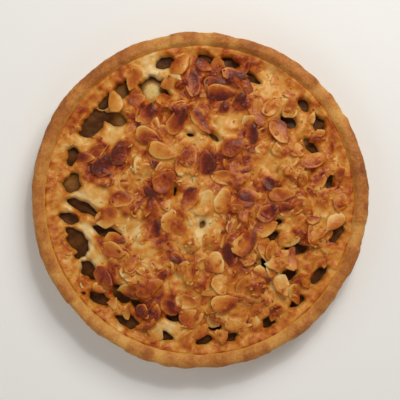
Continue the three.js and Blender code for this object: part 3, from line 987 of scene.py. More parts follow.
@dataclass(frozen=True)
class CaseFinish:
    """Baked yeast dough: golden, darker on the crest, dry, with fine pores."""

    under: Colour = (214, 166, 92)
    side: Colour = (208, 150, 70)
    crest: Colour = (176, 104, 36)
    dark: Colour = (122, 62, 18)

    def build(self) -> bpy.types.Material:
        """Returns the material; it reads the attribute bake."""
        kit = NodeKit("baked_dough_case")
        bake = kit.attribute("bake")
        broad = kit.scaled(kit.noise(34, 2), 0.7, -0.35)
        patches = kit.scaled(kit.noise(9, 5, 0.66), 1.0, -0.5)
        speckle = kit.scaled(kit.noise(1.3, 3), 0.5, -0.25)
        value = kit.math("ADD", kit.math("ADD", bake, broad), kit.math("ADD", patches, speckle), clamp=True)
        stops = ((0.0, self.under), (0.35, self.side), (0.7, self.crest), (1.0, self.dark))
        colour = kit.ramp(value, stops)
        roughness = kit.scaled(kit.noise(5, 2), 0.2, 0.5)
        here = kit.scaled(kit.noise(12, 2), 5, -2.4, clamp=True)
        pores = kit.scaled(kit.cells(3.4), -4.5, 1.0, clamp=True)
        normal = kit.bump(kit.noise(6, 5, 0.62), 1.3)
        normal = kit.bump(kit.math("MULTIPLY", pores, here), -0.45, normal)
        normal = kit.bump(kit.noise(1.1, 3, 0.65), 0.32, normal)
        kit.set(Specular_IOR_Level=0.35, Subsurface_Weight=0.15, Subsurface_Scale=0.0015)
        kit.set(Subsurface_Radius=(1.0, 0.5, 0.25))
        return kit.finish(colour, roughness, normal)


# From cream through gold and caramel to burnt
TOASTING: Stops = (
    (0.0, (222, 190, 132)),
    (0.18, (213, 162, 86)),
    (0.36, (202, 133, 50)),
    (0.52, (185, 103, 27)),
    (0.68, (158, 66, 13)),
    (0.84, (116, 30, 6)),
    (1.0, (78, 17, 9)),
)
# Warm tint of all reflections: painted reflection of warm surroundings, for the glaze itself reflects light
# white
WARM_REFLECTION_TINT = (1.0, 0.84, 0.68, 1.0)


def toasting(kit: NodeKit, strength: Value = 1.0) -> Socket:
    """Adds the blotches that run across almonds and sugar alike to the attribute bake.

    Args:
        kit: The material.
        strength: How strongly the blotches show.

    Returns:
        The bake with its blotches.
    """
    broad = kit.scaled(kit.noise(6, 3, 0.6), 0.52, -0.26)
    fine = kit.scaled(kit.noise(1.9, 3, 0.55), 0.16, -0.08)
    change = kit.math("MULTIPLY", kit.math("ADD", broad, fine), strength)
    return kit.math("ADD", kit.attribute("bake"), change, clamp=True)


@dataclass(frozen=True)
class SugarFinish:
    """Pale dough under sugar that has melted and browned; it shines where the sugar is thick."""

    stops: Stops = TOASTING

    def build(self) -> bpy.types.Material:
        """Returns the material; it reads the attributes bake and sugar."""
        kit = NodeKit("dough_net_and_sugar")
        sugar = kit.attribute("sugar")
        value = toasting(kit, kit.scaled(sugar, 0.75, 0.25))
        colour = kit.ramp(value, self.stops)
        roughness = kit.scaled(kit.noise(1.8, 3), 0.6, 0.02)
        lumps = kit.math("MULTIPLY", kit.noise(2.6, 3, 0.6), kit.scaled(sugar, 0.8, 0.2))
        normal = kit.bump(lumps, 0.9)
        normal = kit.bump(kit.noise(0.7, 2), 0.1, normal)
        kit.set(Specular_IOR_Level=0.36, Specular_Tint=WARM_REFLECTION_TINT)
        kit.set(Subsurface_Weight=0.3, Subsurface_Scale=0.0018)
        kit.set(Subsurface_Radius=(1.0, 0.42, 0.14))
        return kit.finish(colour, roughness, normal)


@dataclass(frozen=True)
class AlmondFinish:
    """Toasted almond under a film of sugar: fine fibres along it and a thin pale rim here and there, partly
    the almond's thin edge and partly painted highlight.
    """

    stops: Stops = TOASTING
    # Colour of the pale rim: the almond's paler thin edge, with painted highlight where the edge catches
    # the light
    rim: Colour = (232, 176, 98)

    def build(self) -> bpy.types.Material:
        """Returns the material; it reads the attributes bake, rim and grain."""
        kit = NodeKit("toasted_almond")
        rim = kit.attribute("rim")
        grain = kit.attribute("grain", "Vector")
        stretch = kit.nodes.new("ShaderNodeMapping")
        stretch.inputs["Scale"].default_value = (0.0016, 0.012, 0.01)
        kit.link(grain, stretch.inputs["Vector"])
        fibres = kit.noise(1, 3, 0.6, stretch.outputs["Vector"])
        streak = kit.scaled(fibres, 0.16, -0.08)
        value = kit.math("ADD", toasting(kit), streak, clamp=True)
        colour = kit.ramp(value, self.stops)
        # Pale line on parts of the outline: painted highlight on the edge, along with the almond's paler
        # thin edge
        here = kit.scaled(kit.noise(6, 2), 2.4, -0.9, clamp=True)
        edge = kit.math("MULTIPLY", kit.math("POWER", rim, 16.0), kit.math("MULTIPLY", here, 0.4))
        colour = kit.mix(edge, colour, srgb(*self.rim))
        roughness = kit.scaled(kit.noise(1.6, 3), 0.6, 0.02)
        normal = kit.bump(fibres, 0.14)
        normal = kit.bump(kit.noise(2.2, 3, 0.6), 0.5, normal)
        kit.set(Specular_IOR_Level=0.4, Specular_Tint=WARM_REFLECTION_TINT)
        kit.set(Subsurface_Weight=0.3, Subsurface_Scale=0.0016)
        kit.set(Subsurface_Radius=(1.0, 0.42, 0.14))
        return kit.finish(colour, roughness, normal)


@dataclass(frozen=True)
class FillingFinish:
    """Cooked apricot under its own syrup: dark and glossy, paler where the fruit lies high."""

    stops: Stops = (
        (0.0, (66, 32, 4)),
        (0.4, (108, 62, 16)),
        (0.75, (152, 112, 56)),
        (1.0, (214, 182, 112)),
    )

    def build(self) -> bpy.types.Material:
        """Returns the material; it reads the attribute pale."""
        kit = NodeKit("apricot_in_syrup")
        pale = kit.attribute("pale")
        change = kit.scaled(kit.noise(5, 4, 0.6), 0.5, -0.25)
        value = kit.math("ADD", pale, change, clamp=True)
        colour = kit.ramp(value, self.stops)
        roughness = kit.scaled(kit.noise(4, 2), 0.3, 0.3)
        normal = kit.bump(kit.noise(3.5, 3), 0.6)
        kit.set(Specular_IOR_Level=0.2, Specular_Tint=WARM_REFLECTION_TINT)
        return kit.finish(colour, roughness, normal)


@dataclass(frozen=True)
class FloorFinish:
    """A plain pale studio table."""

    colour: Colour = (236, 235, 232)

    def build(self) -> bpy.types.Material:
        """Returns the material."""
        kit = NodeKit("pale_table")
        kit.set(Base_Color=srgb(*self.colour), Roughness=0.7, Specular_IOR_Level=0.2)
        return kit.material


def dress(piece: bpy.types.Object, material: bpy.types.Material, slot: str, *nodes: str) -> None:
    """Gives a piece its finish and its place in the frame.

    Args:
        piece: The object.
        material: Its finish.
        slot: A material slot; not used.
        nodes: The solids that it stands for.
    """
    if not piece.data.materials:
        piece.data.materials.append(material)
    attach(piece, ROOT_BODY)
    if nodes:
        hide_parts(*nodes)
    log.info("%s: %d faces", piece.name, len(piece.data.polygons))


def turned(outline: np.ndarray, around: int) -> tuple[np.ndarray, np.ndarray, np.ndarray]:
    """Returns the radius, height and angle of each point of an outline turned round the middle."""
    angles = np.arange(around) * TAU / around
    radius, height = np.repeat(outline[:, 0], around), np.repeat(outline[:, 1], around)
    return radius, height, np.tile(angles, len(outline))


def ring_faces(rings: int, around: int) -> list[tuple[int, ...]]:
    """Returns the faces between rings of points and to the two middles, which come after them."""
    faces: list[tuple[int, ...]] = []
    first_middle = rings * around
    last = first_middle - around
    for j in range(around):
        k = (j + 1) % around
        faces.append((first_middle, k, j))
        faces.append((first_middle + 1, last + j, last + k))
        for a in range(0, last, around):
            b = a + around
            faces.append((a + j, a + k, b + k, b + j))
    return faces


@dataclass
class DoughCase:
    """The case: a flat base, sides that lean out, a rounded uneven rim, and the well inside it."""

    plan: NetPlan
    around: int = 360
    wobble: float = 0.9
    pinch_depth: float = 0.8
    pinches: int = 16
    strand_height: float = 1.6
    finish: CaseFinish = CaseFinish()

    def profile(self) -> np.ndarray:
        """Returns the outline as radius and height, from the underside's middle round to the floor."""
        edge = (BASE_RADIUS, 0)
        foot = (BASE_RADIUS - HEEL_RADIUS, 0)
        heel = (BASE_RADIUS + 0.6, HEEL_RADIUS)
        side = (TART_RADIUS - 1.2, WIDEST_HEIGHT - 5)
        widest, brow = (TART_RADIUS, WIDEST_HEIGHT), (TART_RADIUS - 0.6, RIM_HEIGHT)
        crest = (TART_RADIUS - RIM_WIDTH / 2, RIM_HEIGHT)
        inner, fall = TART_RADIUS - RIM_WIDTH + 1, (TART_RADIUS - RIM_WIDTH, RIM_HEIGHT - 2)
        lip, level = (WELL_RADIUS + 0.5, FILLING_TOP + 2), (WELL_RADIUS, FILLING_TOP)
        wall = (WELL_RADIUS - 2, FLOOR_THICKNESS + HEEL_RADIUS)
        corner = (WELL_RADIUS - 2.5, FLOOR_THICKNESS)
        floor = (WELL_RADIUS - 6, FLOOR_THICKNESS)
        parts = [
            self.line((0, 0), (60, 0), 4),
            self.line((60, 0), foot, 6),
            self.curve((foot, edge, edge, heel), 8),
            self.line(heel, side, 14),
            self.curve((side, widest, brow, crest), 14),
            self.curve((crest, (inner, RIM_HEIGHT), fall, lip), 14),
            self.line(lip, level, 2),
            self.line(level, wall, 4),
            self.curve((wall, corner, corner, floor), 4),
            self.line(floor, (0, FLOOR_THICKNESS), 4),
        ]
        points = [parts[0][0]]
        for part in parts:
            points.extend(part[1:])
        return np.array(points)

    @staticmethod
    def line(start: Spot, end: Spot, steps: int) -> list[Spot]:
        """Returns points on a straight line."""
        shares = [i / steps for i in range(steps + 1)]
        return [(between(start[0], end[0], t), between(start[1], end[1], t)) for t in shares]

    @staticmethod
    def curve(corners: tuple[Spot, Spot, Spot, Spot], steps: int) -> list[Spot]:
        """Returns points on a Bezier curve."""
        points = []
        for i in range(steps + 1):
            t = i / steps
            weights = ((1 - t) ** 3, 3 * t * (1 - t) ** 2, 3 * t * t * (1 - t), t**3)
            points.append(tuple(sum(w * c[k] for w, c in zip(weights, corners)) for k in (0, 1)))
        return points

    def build(self) -> bpy.types.Object:
        """Turns the outline, makes it uneven and lays the strands' ends over the rim."""
        profile = self.profile()[1:-1]
        radius, height, angle = turned(profile, self.around)
        out = smoothstep(WELL_RADIUS + 3, TART_RADIUS, radius) * smoothstep(0, 8, height)
        up = smoothstep(WIDEST_HEIGHT, RIM_HEIGHT, height)
        wander = np.sin(3 * angle + 0.8) + 0.6 * np.sin(7 * angle + 2.1) + 0.4 * np.sin(13 * angle)
        pinch = np.abs(np.cos(angle * self.pinches / 2)) ** 6
        radius = radius + out * self.wobble * wander / 2
        height = height + up * (self.wobble * 0.5 * np.sin(5 * angle + 1.3) - self.pinch_depth * pinch)
        lift = self.strands(angle) * smoothstep(WELL_RADIUS, WELL_RADIUS + 5, radius)
        lift = lift * smoothstep(WIDEST_HEIGHT - 8, WIDEST_HEIGHT + 3, height)
        lean = smoothstep(TART_RADIUS - 6, TART_RADIUS - 1, radius)
        height = height + lift * (1 - 0.7 * lean)
        radius = radius + lift * 0.5 * lean
        small = Lumps(41, 10, 18, 4)
        sway = small(angle * TART_RADIUS, height * 1.6 + radius * 0.4)
        radius = radius + 0.22 * sway * smoothstep(BASE_RADIUS - 2, BASE_RADIUS + 3, radius)
        height = height + 0.2 * sway * up
        x, y = radius * np.cos(angle), radius * np.sin(angle)
        points = np.column_stack([x, y, height])
        points = np.vstack([points, [0, 0, 0], [0, 0, FLOOR_THICKNESS]])
        bake = self.bake(radius, height, lift)
        bake = np.concatenate([bake, [0.45, 0.2]])
        faces = ring_faces(len(profile), self.around)
        return make_piece("baked_dough_case", points, faces, {"bake": bake})

    def strands(self, angle: np.ndarray) -> np.ndarray:
        """Returns how high the strands' ends stand on the rim, by angle."""
        radius = NET_RADIUS - 3.0
        gap = self.plan.clearance(radius * np.cos(angle), radius * np.sin(angle))
        return self.strand_height * smoothstep(0.5, 3.2, gap)

    @staticmethod
    def bake(radius: np.ndarray, height: np.ndarray, lift: np.ndarray) -> np.ndarray:
        """Returns how far the dough is baked: most on the crest, least low on the sides."""
        crest = smoothstep(20, 31, height) * smoothstep(WELL_RADIUS - 1, WELL_RADIUS + 6, radius)
        base = 0.42 * (1 - smoothstep(0, 6, height))
        return 0.2 + 0.3 * crest + base * 0.6 + 0.12 * lift


@dataclass
class ApricotFilling:
    """The filling: fruit and syrup up to the net, its top uneven."""

    around: int = 240
    rings: int = 90
    dimple: float = 0.9
    fruit: float = 0.45
    highest: float = 1.6
    finish: FillingFinish = FillingFinish()

    # Paler floors of openings: x, y, radius, how pale
    PALE_PLACES = (
        (-34, 77, 9, 1.0),
        (-56, 58, 7, 0.6),
        (-91, 12, 9, 0.5),
        (-54, 77, 8, 0.45),
        (2, -20, 7, 0.75),
        (10, 43, 8, 0.75),
        (72, 44, 8, 0.75),
    )

    def build(self) -> bpy.types.Object:
        """Makes the slab from its underside's middle round to its top's middle."""
        radius = WELL_RADIUS - 0.3
        low = FLOOR_THICKNESS + 0.3
        outline = [(radius - 6.2, low), (radius - 2.2, low + HEEL_RADIUS)]
        outline += [(radius, FILLING_TOP - 1), (radius - 0.1, FILLING_TOP - 0.3)]
        outline += [((radius - 0.4) * (1 - ring / self.rings), FILLING_TOP) for ring in range(self.rings)]
        r, z, angle = turned(np.array(outline), self.around)
        x, y = r * np.cos(angle), r * np.sin(angle)
        top = z > FILLING_TOP - 0.5
        coarse = Lumps(12, 6, 40, 14)(x, y)
        fine = Lumps(14, 9, 15, 5)(x, y)
        sunk = np.clip(self.dimple * (0.5 + 0.5 * coarse), 0, 2 * self.dimple)
        z = z - np.where(top, sunk + self.fruit * (0.5 - 0.5 * fine), 0)
        pale = 0.1 + 0.14 * fine
        for px, py, spread, amount in self.PALE_PLACES:
            away = ((x - px) ** 2 + (y - py) ** 2) / spread**2
            pale = np.maximum(pale, amount * np.exp(-(away**2)))
        z = z + np.where(top, self.highest * smoothstep(0.7, 1.0, pale), 0)
        points = np.vstack([np.column_stack([x, y, z]), [0, 0, low], [0, 0, FILLING_TOP - 0.6]])
        pale = np.concatenate([pale, [0.2, 0.2]])
        faces = ring_faces(len(outline), self.around)
        return make_piece("apricot_filling_top", points, faces, {"pale": pale})


class SugarMap:
    """What lies under the sugar: the tops of all flakes and how far they are baked, on a fine map."""

    def __init__(
        self, below: Sequence[Flake], top: Sequence[Flake], plan: NetPlan, bakes: BakeMap, step: float = 0.5
    ) -> None:
        """Draws the flakes on the map in the order in which they came down.

        Args:
            below: The flakes below.
            top: The ones that stand out on top.
            plan: The net under them.
            bakes: How far the net is baked.
            step: Size of the map's cells.
        """
        self.step = step
        count = int(2 * TART_RADIUS / step) + 1
        axis = np.arange(count) * step - TART_RADIUS
        x, y = np.meshgrid(axis, axis)
        cover = plan.top(x, y)
        tone = bakes(x, y)
        proud = np.zeros_like(x)
        for number, flake in enumerate((*below, *top)):
            a, b = flake.length / 2, flake.width / 2
            cos, sin = math.cos(math.radians(flake.turn)), math.sin(math.radians(flake.turn))
            reach = int(a * 1.2 / step) + 2
            middles = (int(round((place + TART_RADIUS) / step)) for place in (flake.y, flake.x))
            window = tuple(slice(max(place - reach, 0), place + reach + 1) for place in middles)
            dx, dy = x[window] - flake.x, y[window] - flake.y
            u, v = (dx * cos + dy * sin) / a, (dy * cos - dx * sin) / b
            pattern = PATTERNS[flake.kind]
            inside = u * u + (v / np.maximum(1 - POINTED * u, 0.3)) ** 2 < 1
            if pattern.broken:
                inside &= u > -pattern.broken
            if pattern.split:
                inside &= v > -pattern.split
            lift = (pattern.bend(u, v) + 0.5 * pattern.thickness) * flake.puff
            height = flake.rest + FLAKE_MIDDLE + flake.slope_u * u + flake.slope_v * v + lift
            shown = inside & (height > cover[window])
            cover[window] = np.where(shown, height, cover[window])
            tone[window] = np.where(shown, flake.bake, tone[window])
            if number >= len(below):
                proud[window] = np.maximum(proud[window], inside)
        self.cover = self.blur(self.swell(cover), 0.8 / step)
        self.level = self.blur(cover, 2.6 / step)
        self.tone = self.blur(tone, 1.1 / step)
        self.proud = self.blur(self.swell(proud), 0.8 / step)
        self.small = self.grain(count, 1.3 / step, 5) * 0.75 + self.grain(count, 0.75 / step, 6) * 0.45

    def grain(self, count: int, sigma: float, seed: int) -> np.ndarray:
        """Returns a map of an uneven surface from about -2 to 2, with lumps of one size."""
        values = self.blur(np.random.default_rng(seed).normal(size=(count, count)), sigma)
        return values / values.std()

    @staticmethod
    def swell(values: np.ndarray) -> np.ndarray:
        """Widens what stands high by one cell, as sugar does that climbs the edge of a flake."""
        wide = values.copy()
        for shift in (-1, 1):
            for axis in (0, 1):
                wide = np.maximum(wide, np.roll(values, shift, axis=axis))
        return wide

    @staticmethod
    def blur(values: np.ndarray, sigma: float) -> np.ndarray:
        """Smooths a map with a round soft brush."""
        reach = int(3 * sigma) + 1
        brush = np.exp(-0.5 * (np.arange(-reach, reach + 1) / sigma) ** 2)
        brush /= brush.sum()
        for axis in (0, 1):
            padded = np.pad(values, [(reach, reach) if i == axis else (0, 0) for i in (0, 1)], mode="edge")
            count = values.shape[axis]
            parts = (np.take(padded, np.arange(i, i + count), axis=axis) for i in range(len(brush)))
            values = sum(w * part for w, part in zip(brush, parts))
        return values

    def at(self, values: np.ndarray, x: np.ndarray, y: np.ndarray) -> np.ndarray:
        """Reads a map between its cells."""
        fx, fy = (x + TART_RADIUS) / self.step, (y + TART_RADIUS) / self.step
        i, j = np.floor(fx).astype(int), np.floor(fy).astype(int)
        i, j = np.clip(i, 0, values.shape[1] - 2), np.clip(j, 0, values.shape[0] - 2)
        u, v = fx - i, fy - j
        low = values[j, i] * (1 - u) + values[j, i + 1] * u
        high = values[j + 1, i] * (1 - u) + values[j + 1, i + 1] * u
        return low * (1 - v) + high * v


@dataclass
class DoughNet:
    """The net of dough with the sugar that runs over it, open where the filling shows."""

    plan: NetPlan
    bakes: BakeMap
    spacing: float = 0.78
    edge_round: float = 3.6
    reach: float = 110.2
    sugar_below: float = 0.2
    burnt_away: float = 0.35
    drown: float = 0.55
    climb: float = 1.9
    edge_top: float = 26.9
    finish: SugarFinish = SugarFinish()

    def grid(self) -> tuple[np.ndarray, np.ndarray]:
        """Returns the points of an even triangle grid and its triangles."""
        rise = self.spacing * math.sqrt(3) / 2
        rows = int(self.reach / rise) + 2
        columns = int(self.reach / self.spacing) + 2
        j, i = np.mgrid[-rows : rows + 1, -columns : columns + 1]
        x = (i + 0.5 * (j % 2)) * self.spacing
        y = j * rise
        number = np.arange(i.size).reshape(i.shape)
        even = (j[:-1, :-1] % 2 == 0).ravel()
        a, b = number[:-1, :-1].ravel(), number[:-1, 1:].ravel()
        c, d = number[1:, :-1].ravel(), number[1:, 1:].ravel()
        first = np.where(even[:, None], np.column_stack([a, b, c]), np.column_stack([a, b, d]))
        second = np.where(even[:, None], np.column_stack([b, d, c]), np.column_stack([a, d, c]))
        return np.column_stack([x.ravel(), y.ravel()]), np.vstack([first, second])

    def field(self, points: np.ndarray) -> np.ndarray:
        """Returns how far points lie inside the net, less than 0 outside it."""
        edge = self.reach - np.hypot(points[:, 0], points[:, 1])
        return np.minimum(self.plan.clearance(points[:, 0], points[:, 1]), edge)

    def cut(self) -> tuple[np.ndarray, np.ndarray, np.ndarray]:
        """Cuts the grid along the openings, with its points moved on to their edges.

        Returns:
            The points, the triangles, and how far each point lies from an edge.
        """
        points, triangles = self.grid()
        inside = self.field(points)
        edges = np.vstack([triangles[:, [0, 1]], triangles[:, [1, 2]], triangles[:, [2, 0]]])
        edges = np.unique(np.sort(edges, axis=1), axis=0)
        first, second = inside[edges[:, 0]], inside[edges[:, 1]]
        crossing = edges[first * second < 0]
        first, second = inside[crossing[:, 0]], inside[crossing[:, 1]]
        share = first / (first - second)
        mover = np.where(share < 0.5, crossing[:, 0], crossing[:, 1])
        place = points[crossing[:, 0]] * (1 - share[:, None]) + points[crossing[:, 1]] * share[:, None]
        order = np.argsort(-np.minimum(share, 1 - share))
        moved = points.copy()
        moved[mover[order]] = place[order]
        inside[mover] = 0
        middles = moved[triangles].mean(axis=1)
        keep = (inside[triangles].min(axis=1) >= -1e-6) & (self.field(middles) > 0)
        triangles = triangles[keep]
        used, triangles = np.unique(triangles, return_inverse=True)
        return moved[used], triangles.reshape(-1, 3), inside[used]

    def build(self, sugar: SugarMap) -> bpy.types.Object:
        """Raises the cut grid to the height of the dough and the sugar, and closes it below.

        Args:
            sugar: The flakes that the sugar runs over.

        Returns:
            The net.
        """
        points, triangles, inside = self.cut()
        x, y = points[:, 0], points[:, 1]
        out = np.hypot(x, y)
        gap = np.maximum(self.plan.clearance(x, y), 0)
        gap[(inside <= 0) & (out < self.reach - 0.01)] = 0
        run, bake, thick = self.surface(sugar, x, y)
        run = run + self.climb * smoothstep(NET_RADIUS - 5, self.reach, out)
        run = between(run, self.edge_top, smoothstep(self.reach - 2, self.reach, out))
        shoulder = self.shoulder(gap)
        top = self.rounded(run, gap)
        bake = np.clip(bake + 0.14 * (shoulder - 1), 0, 1)
        count = len(points)
        upper = np.column_stack([x, y, top])
        faces = [tuple(t) for t in triangles]
        loops = self.rims(triangles)
        lower_of, lower_points = {}, []
        for a, b in loops:
            for corner in (a, b):
                if corner not in lower_of:
                    lower_of[corner] = count + len(lower_points)
                    lower_points.append((x[corner], y[corner], NET_BOTTOM))
        faces += [(b, a, lower_of[a], lower_of[b]) for a, b in loops]
        lower_bake = np.array([bake[corner] for corner in lower_of])
        attributes = {
            "bake": np.concatenate([bake, lower_bake]),
            "sugar": np.concatenate([thick, np.zeros(len(lower_bake))]),
        }
        corners = np.vstack([upper, np.array(lower_points)])
        piece = make_piece("dough_net_and_sugar", corners, faces, attributes)
        self.close_underside(piece)
        return piece

    def shoulder(self, gap: np.ndarray) -> np.ndarray:
        """Returns how far the dough's edge has risen to its full height at a distance from an opening."""
        return np.sqrt(np.clip(1 - (1 - np.minimum(gap / self.edge_round, 1)) ** 2, 0, 1))

    def rounded(self, run: np.ndarray, gap: np.ndarray) -> np.ndarray:
        """Returns the height of the top, lowered where the dough rounds off to an opening."""
        return NET_BOTTOM + 0.5 + (run - NET_BOTTOM - 0.5) * self.shoulder(gap)

    def surface(
        self, sugar: SugarMap, x: np.ndarray, y: np.ndarray
    ) -> tuple[np.ndarray, np.ndarray, np.ndarray]:
        """Works out the top of the dough and sugar away from the openings.

        Args:
            sugar: The flakes that the sugar runs over.
            x: Places to the right.
            y: Places away from the viewer.

        Returns:
            The height, how far it is baked, and how much of it is sugar.
        """
        base = self.plan.top(x, y)
        cover, level = sugar.at(sugar.cover, x, y), sugar.at(sugar.level, x, y)
        pool = np.zeros_like(x)
        for px, py, radius, depth in SUGAR_POOLS:
            pool = np.maximum(pool, depth * np.exp(-(((x - px) ** 2 + (y - py) ** 2) / radius**2) ** 1.5))
        place = self.bakes(x, y, 0.7)
        short = self.sugar_below + 0.6 * Lumps(52, 10, 24, 7)(x, y) - pool
        short = short + self.burnt_away * smoothstep(0.55, 0.85, place)
        deep = smoothstep(-0.3, 0.6, Lumps(53, 10, 34, 9)(x, y))
        short = short - self.drown * deep * (1 - sugar.at(sugar.proud, x, y))
        run = np.maximum(base, 0.6 * cover + 0.4 * level - short)
        small = sugar.at(sugar.small, x, y)
        tone = sugar.at(sugar.tone, x, y)
        bake = tone + (place - tone) * 0.6
        thick = smoothstep(0.12, 0.5, bake)
        run = run + 0.2 * (0.4 + 0.6 * thick) * small
        bake = bake + 0.07 * small + 0.1 * np.clip(run - level, -2, 1.5) - 0.12 * pool
        return run, np.clip(bake, 0, 1), thick

    def close_underside(self, piece: bpy.types.Object) -> None:
        """Fills the flat underside between its edge loops."""
        form = bmesh.new()
        form.from_mesh(piece.data)
        open_edges = [edge for edge in form.edges if edge.is_boundary]
        made = bmesh.ops.triangle_fill(
            form, use_beauty=True, use_dissolve=False, edges=open_edges, normal=(0, 0, -1)
        )
        new_faces = [item for item in made["geom"] if isinstance(item, bmesh.types.BMFace)]
        middles = np.array([face.calc_center_median()[:2] for face in new_faces]) / MM
        over_hole = self.field(middles) < -self.spacing
        holes = [face for face, gone in zip(new_faces, over_hole) if gone]
        new_faces = [face for face, gone in zip(new_faces, over_hole) if not gone]
        bmesh.ops.delete(form, geom=holes, context="FACES_ONLY")
        for face in new_faces:
            if face.normal.z > 0:
                face.normal_flip()
        left = sum(1 for edge in form.edges if edge.is_boundary)
        log.info("underside: %d faces, %d over holes, %d edges left open", len(new_faces), len(holes), left)
        form.to_mesh(piece.data)
        form.free()

    @staticmethod
    def rims(triangles: np.ndarray) -> list[tuple[int, int]]:
        """Returns the edges that have a triangle on one side only."""
        edges = np.vstack([triangles[:, [0, 1]], triangles[:, [1, 2]], triangles[:, [2, 0]]])
        known = {(int(a), int(b)) for a, b in edges}
        return [(a, b) for a, b in sorted(known) if (b, a) not in known]


@dataclass
class CrumbLayout:
    """Strews broken bits of almond and sugar over the flakes and the film alike."""

    net: DoughNet
    sugar: SugarMap
    count: int = 620
    shortest: float = 1.5
    longest: float = 4.4
    steepest: float = 0.5
    flake_step: float = 0.6
    edge_step: float = 0.3
    seed: int = 5077

    def settle(self) -> list[Flake]:
        """Lets each bit down on what is highest at its place.

        Returns:
            The bits, in the terms of flakes.
        """
        random = RandomSource(self.seed)
        spots = []
        while len(spots) < self.count:
            x, y = random_spot(random, NET_RADIUS - 3)
            shares = [random() for _ in range(8)]
            if self.free(x, y):
                spots.append((x, y, *shares))
        x, y, size, slim, turn, lean_u, lean_v, bake, lift, kind = np.array(spots).T
        run, here, _ = self.net.surface(self.sugar, x, y)
        cover = self.sugar.at(self.sugar.cover, x, y)
        steps = ((1, 0), (-1, 0), (0, 1), (0, -1))
        beside = [self.sugar.at(self.sugar.cover, x + dx, y + dy) for dx, dy in steps]
        cover = np.minimum(cover, np.min(beside, axis=0) + self.edge_step)
        dough = self.net.rounded(run, np.maximum(self.net.plan.clearance(x, y), 0))
        on_flake = cover > self.net.plan.top(x, y) + self.flake_step
        ground = np.where(on_flake, np.maximum(run, cover), dough)
        length = between(self.shortest, self.longest, size**2)
        width = length * between(0.5, 1.0, slim)
        rest = ground - FLAKE_MIDDLE + between(-0.3, 0.15, lift)
        slope_u = between(-self.steepest, self.steepest, lean_u) * length / 2
        slope_v = between(-self.steepest, self.steepest, lean_v) * width / 2
        bake = np.clip(here + between(-0.24, 0.2, bake), 0.02, 1)
        kind, puff = (kind * len(CRUMB_PATTERNS)).astype(int), between(0.6, 1.1, slim)
        columns = (x, y, length, width, turn * 360, slope_u, slope_v, rest, bake)
        return [Flake(*map(float, row), int(k), float(q)) for *row, k, q in zip(*columns, kind, puff)]

    def free(self, x: float, y: float) -> bool:
        """Says whether a bit may lie at a place: not in an opening, on bare dough or amid a flake."""
        if self.net.plan.near_opening(x, y):
            return False
        if any(math.hypot(x - bx, y - by) < 0.6 * radius for bx, by, radius, _ in BARE_DOUGH):
            return False
        return all(math.hypot(x - f.x, y - f.y) > 0.36 * f.length for f in TOP_FLAKES)


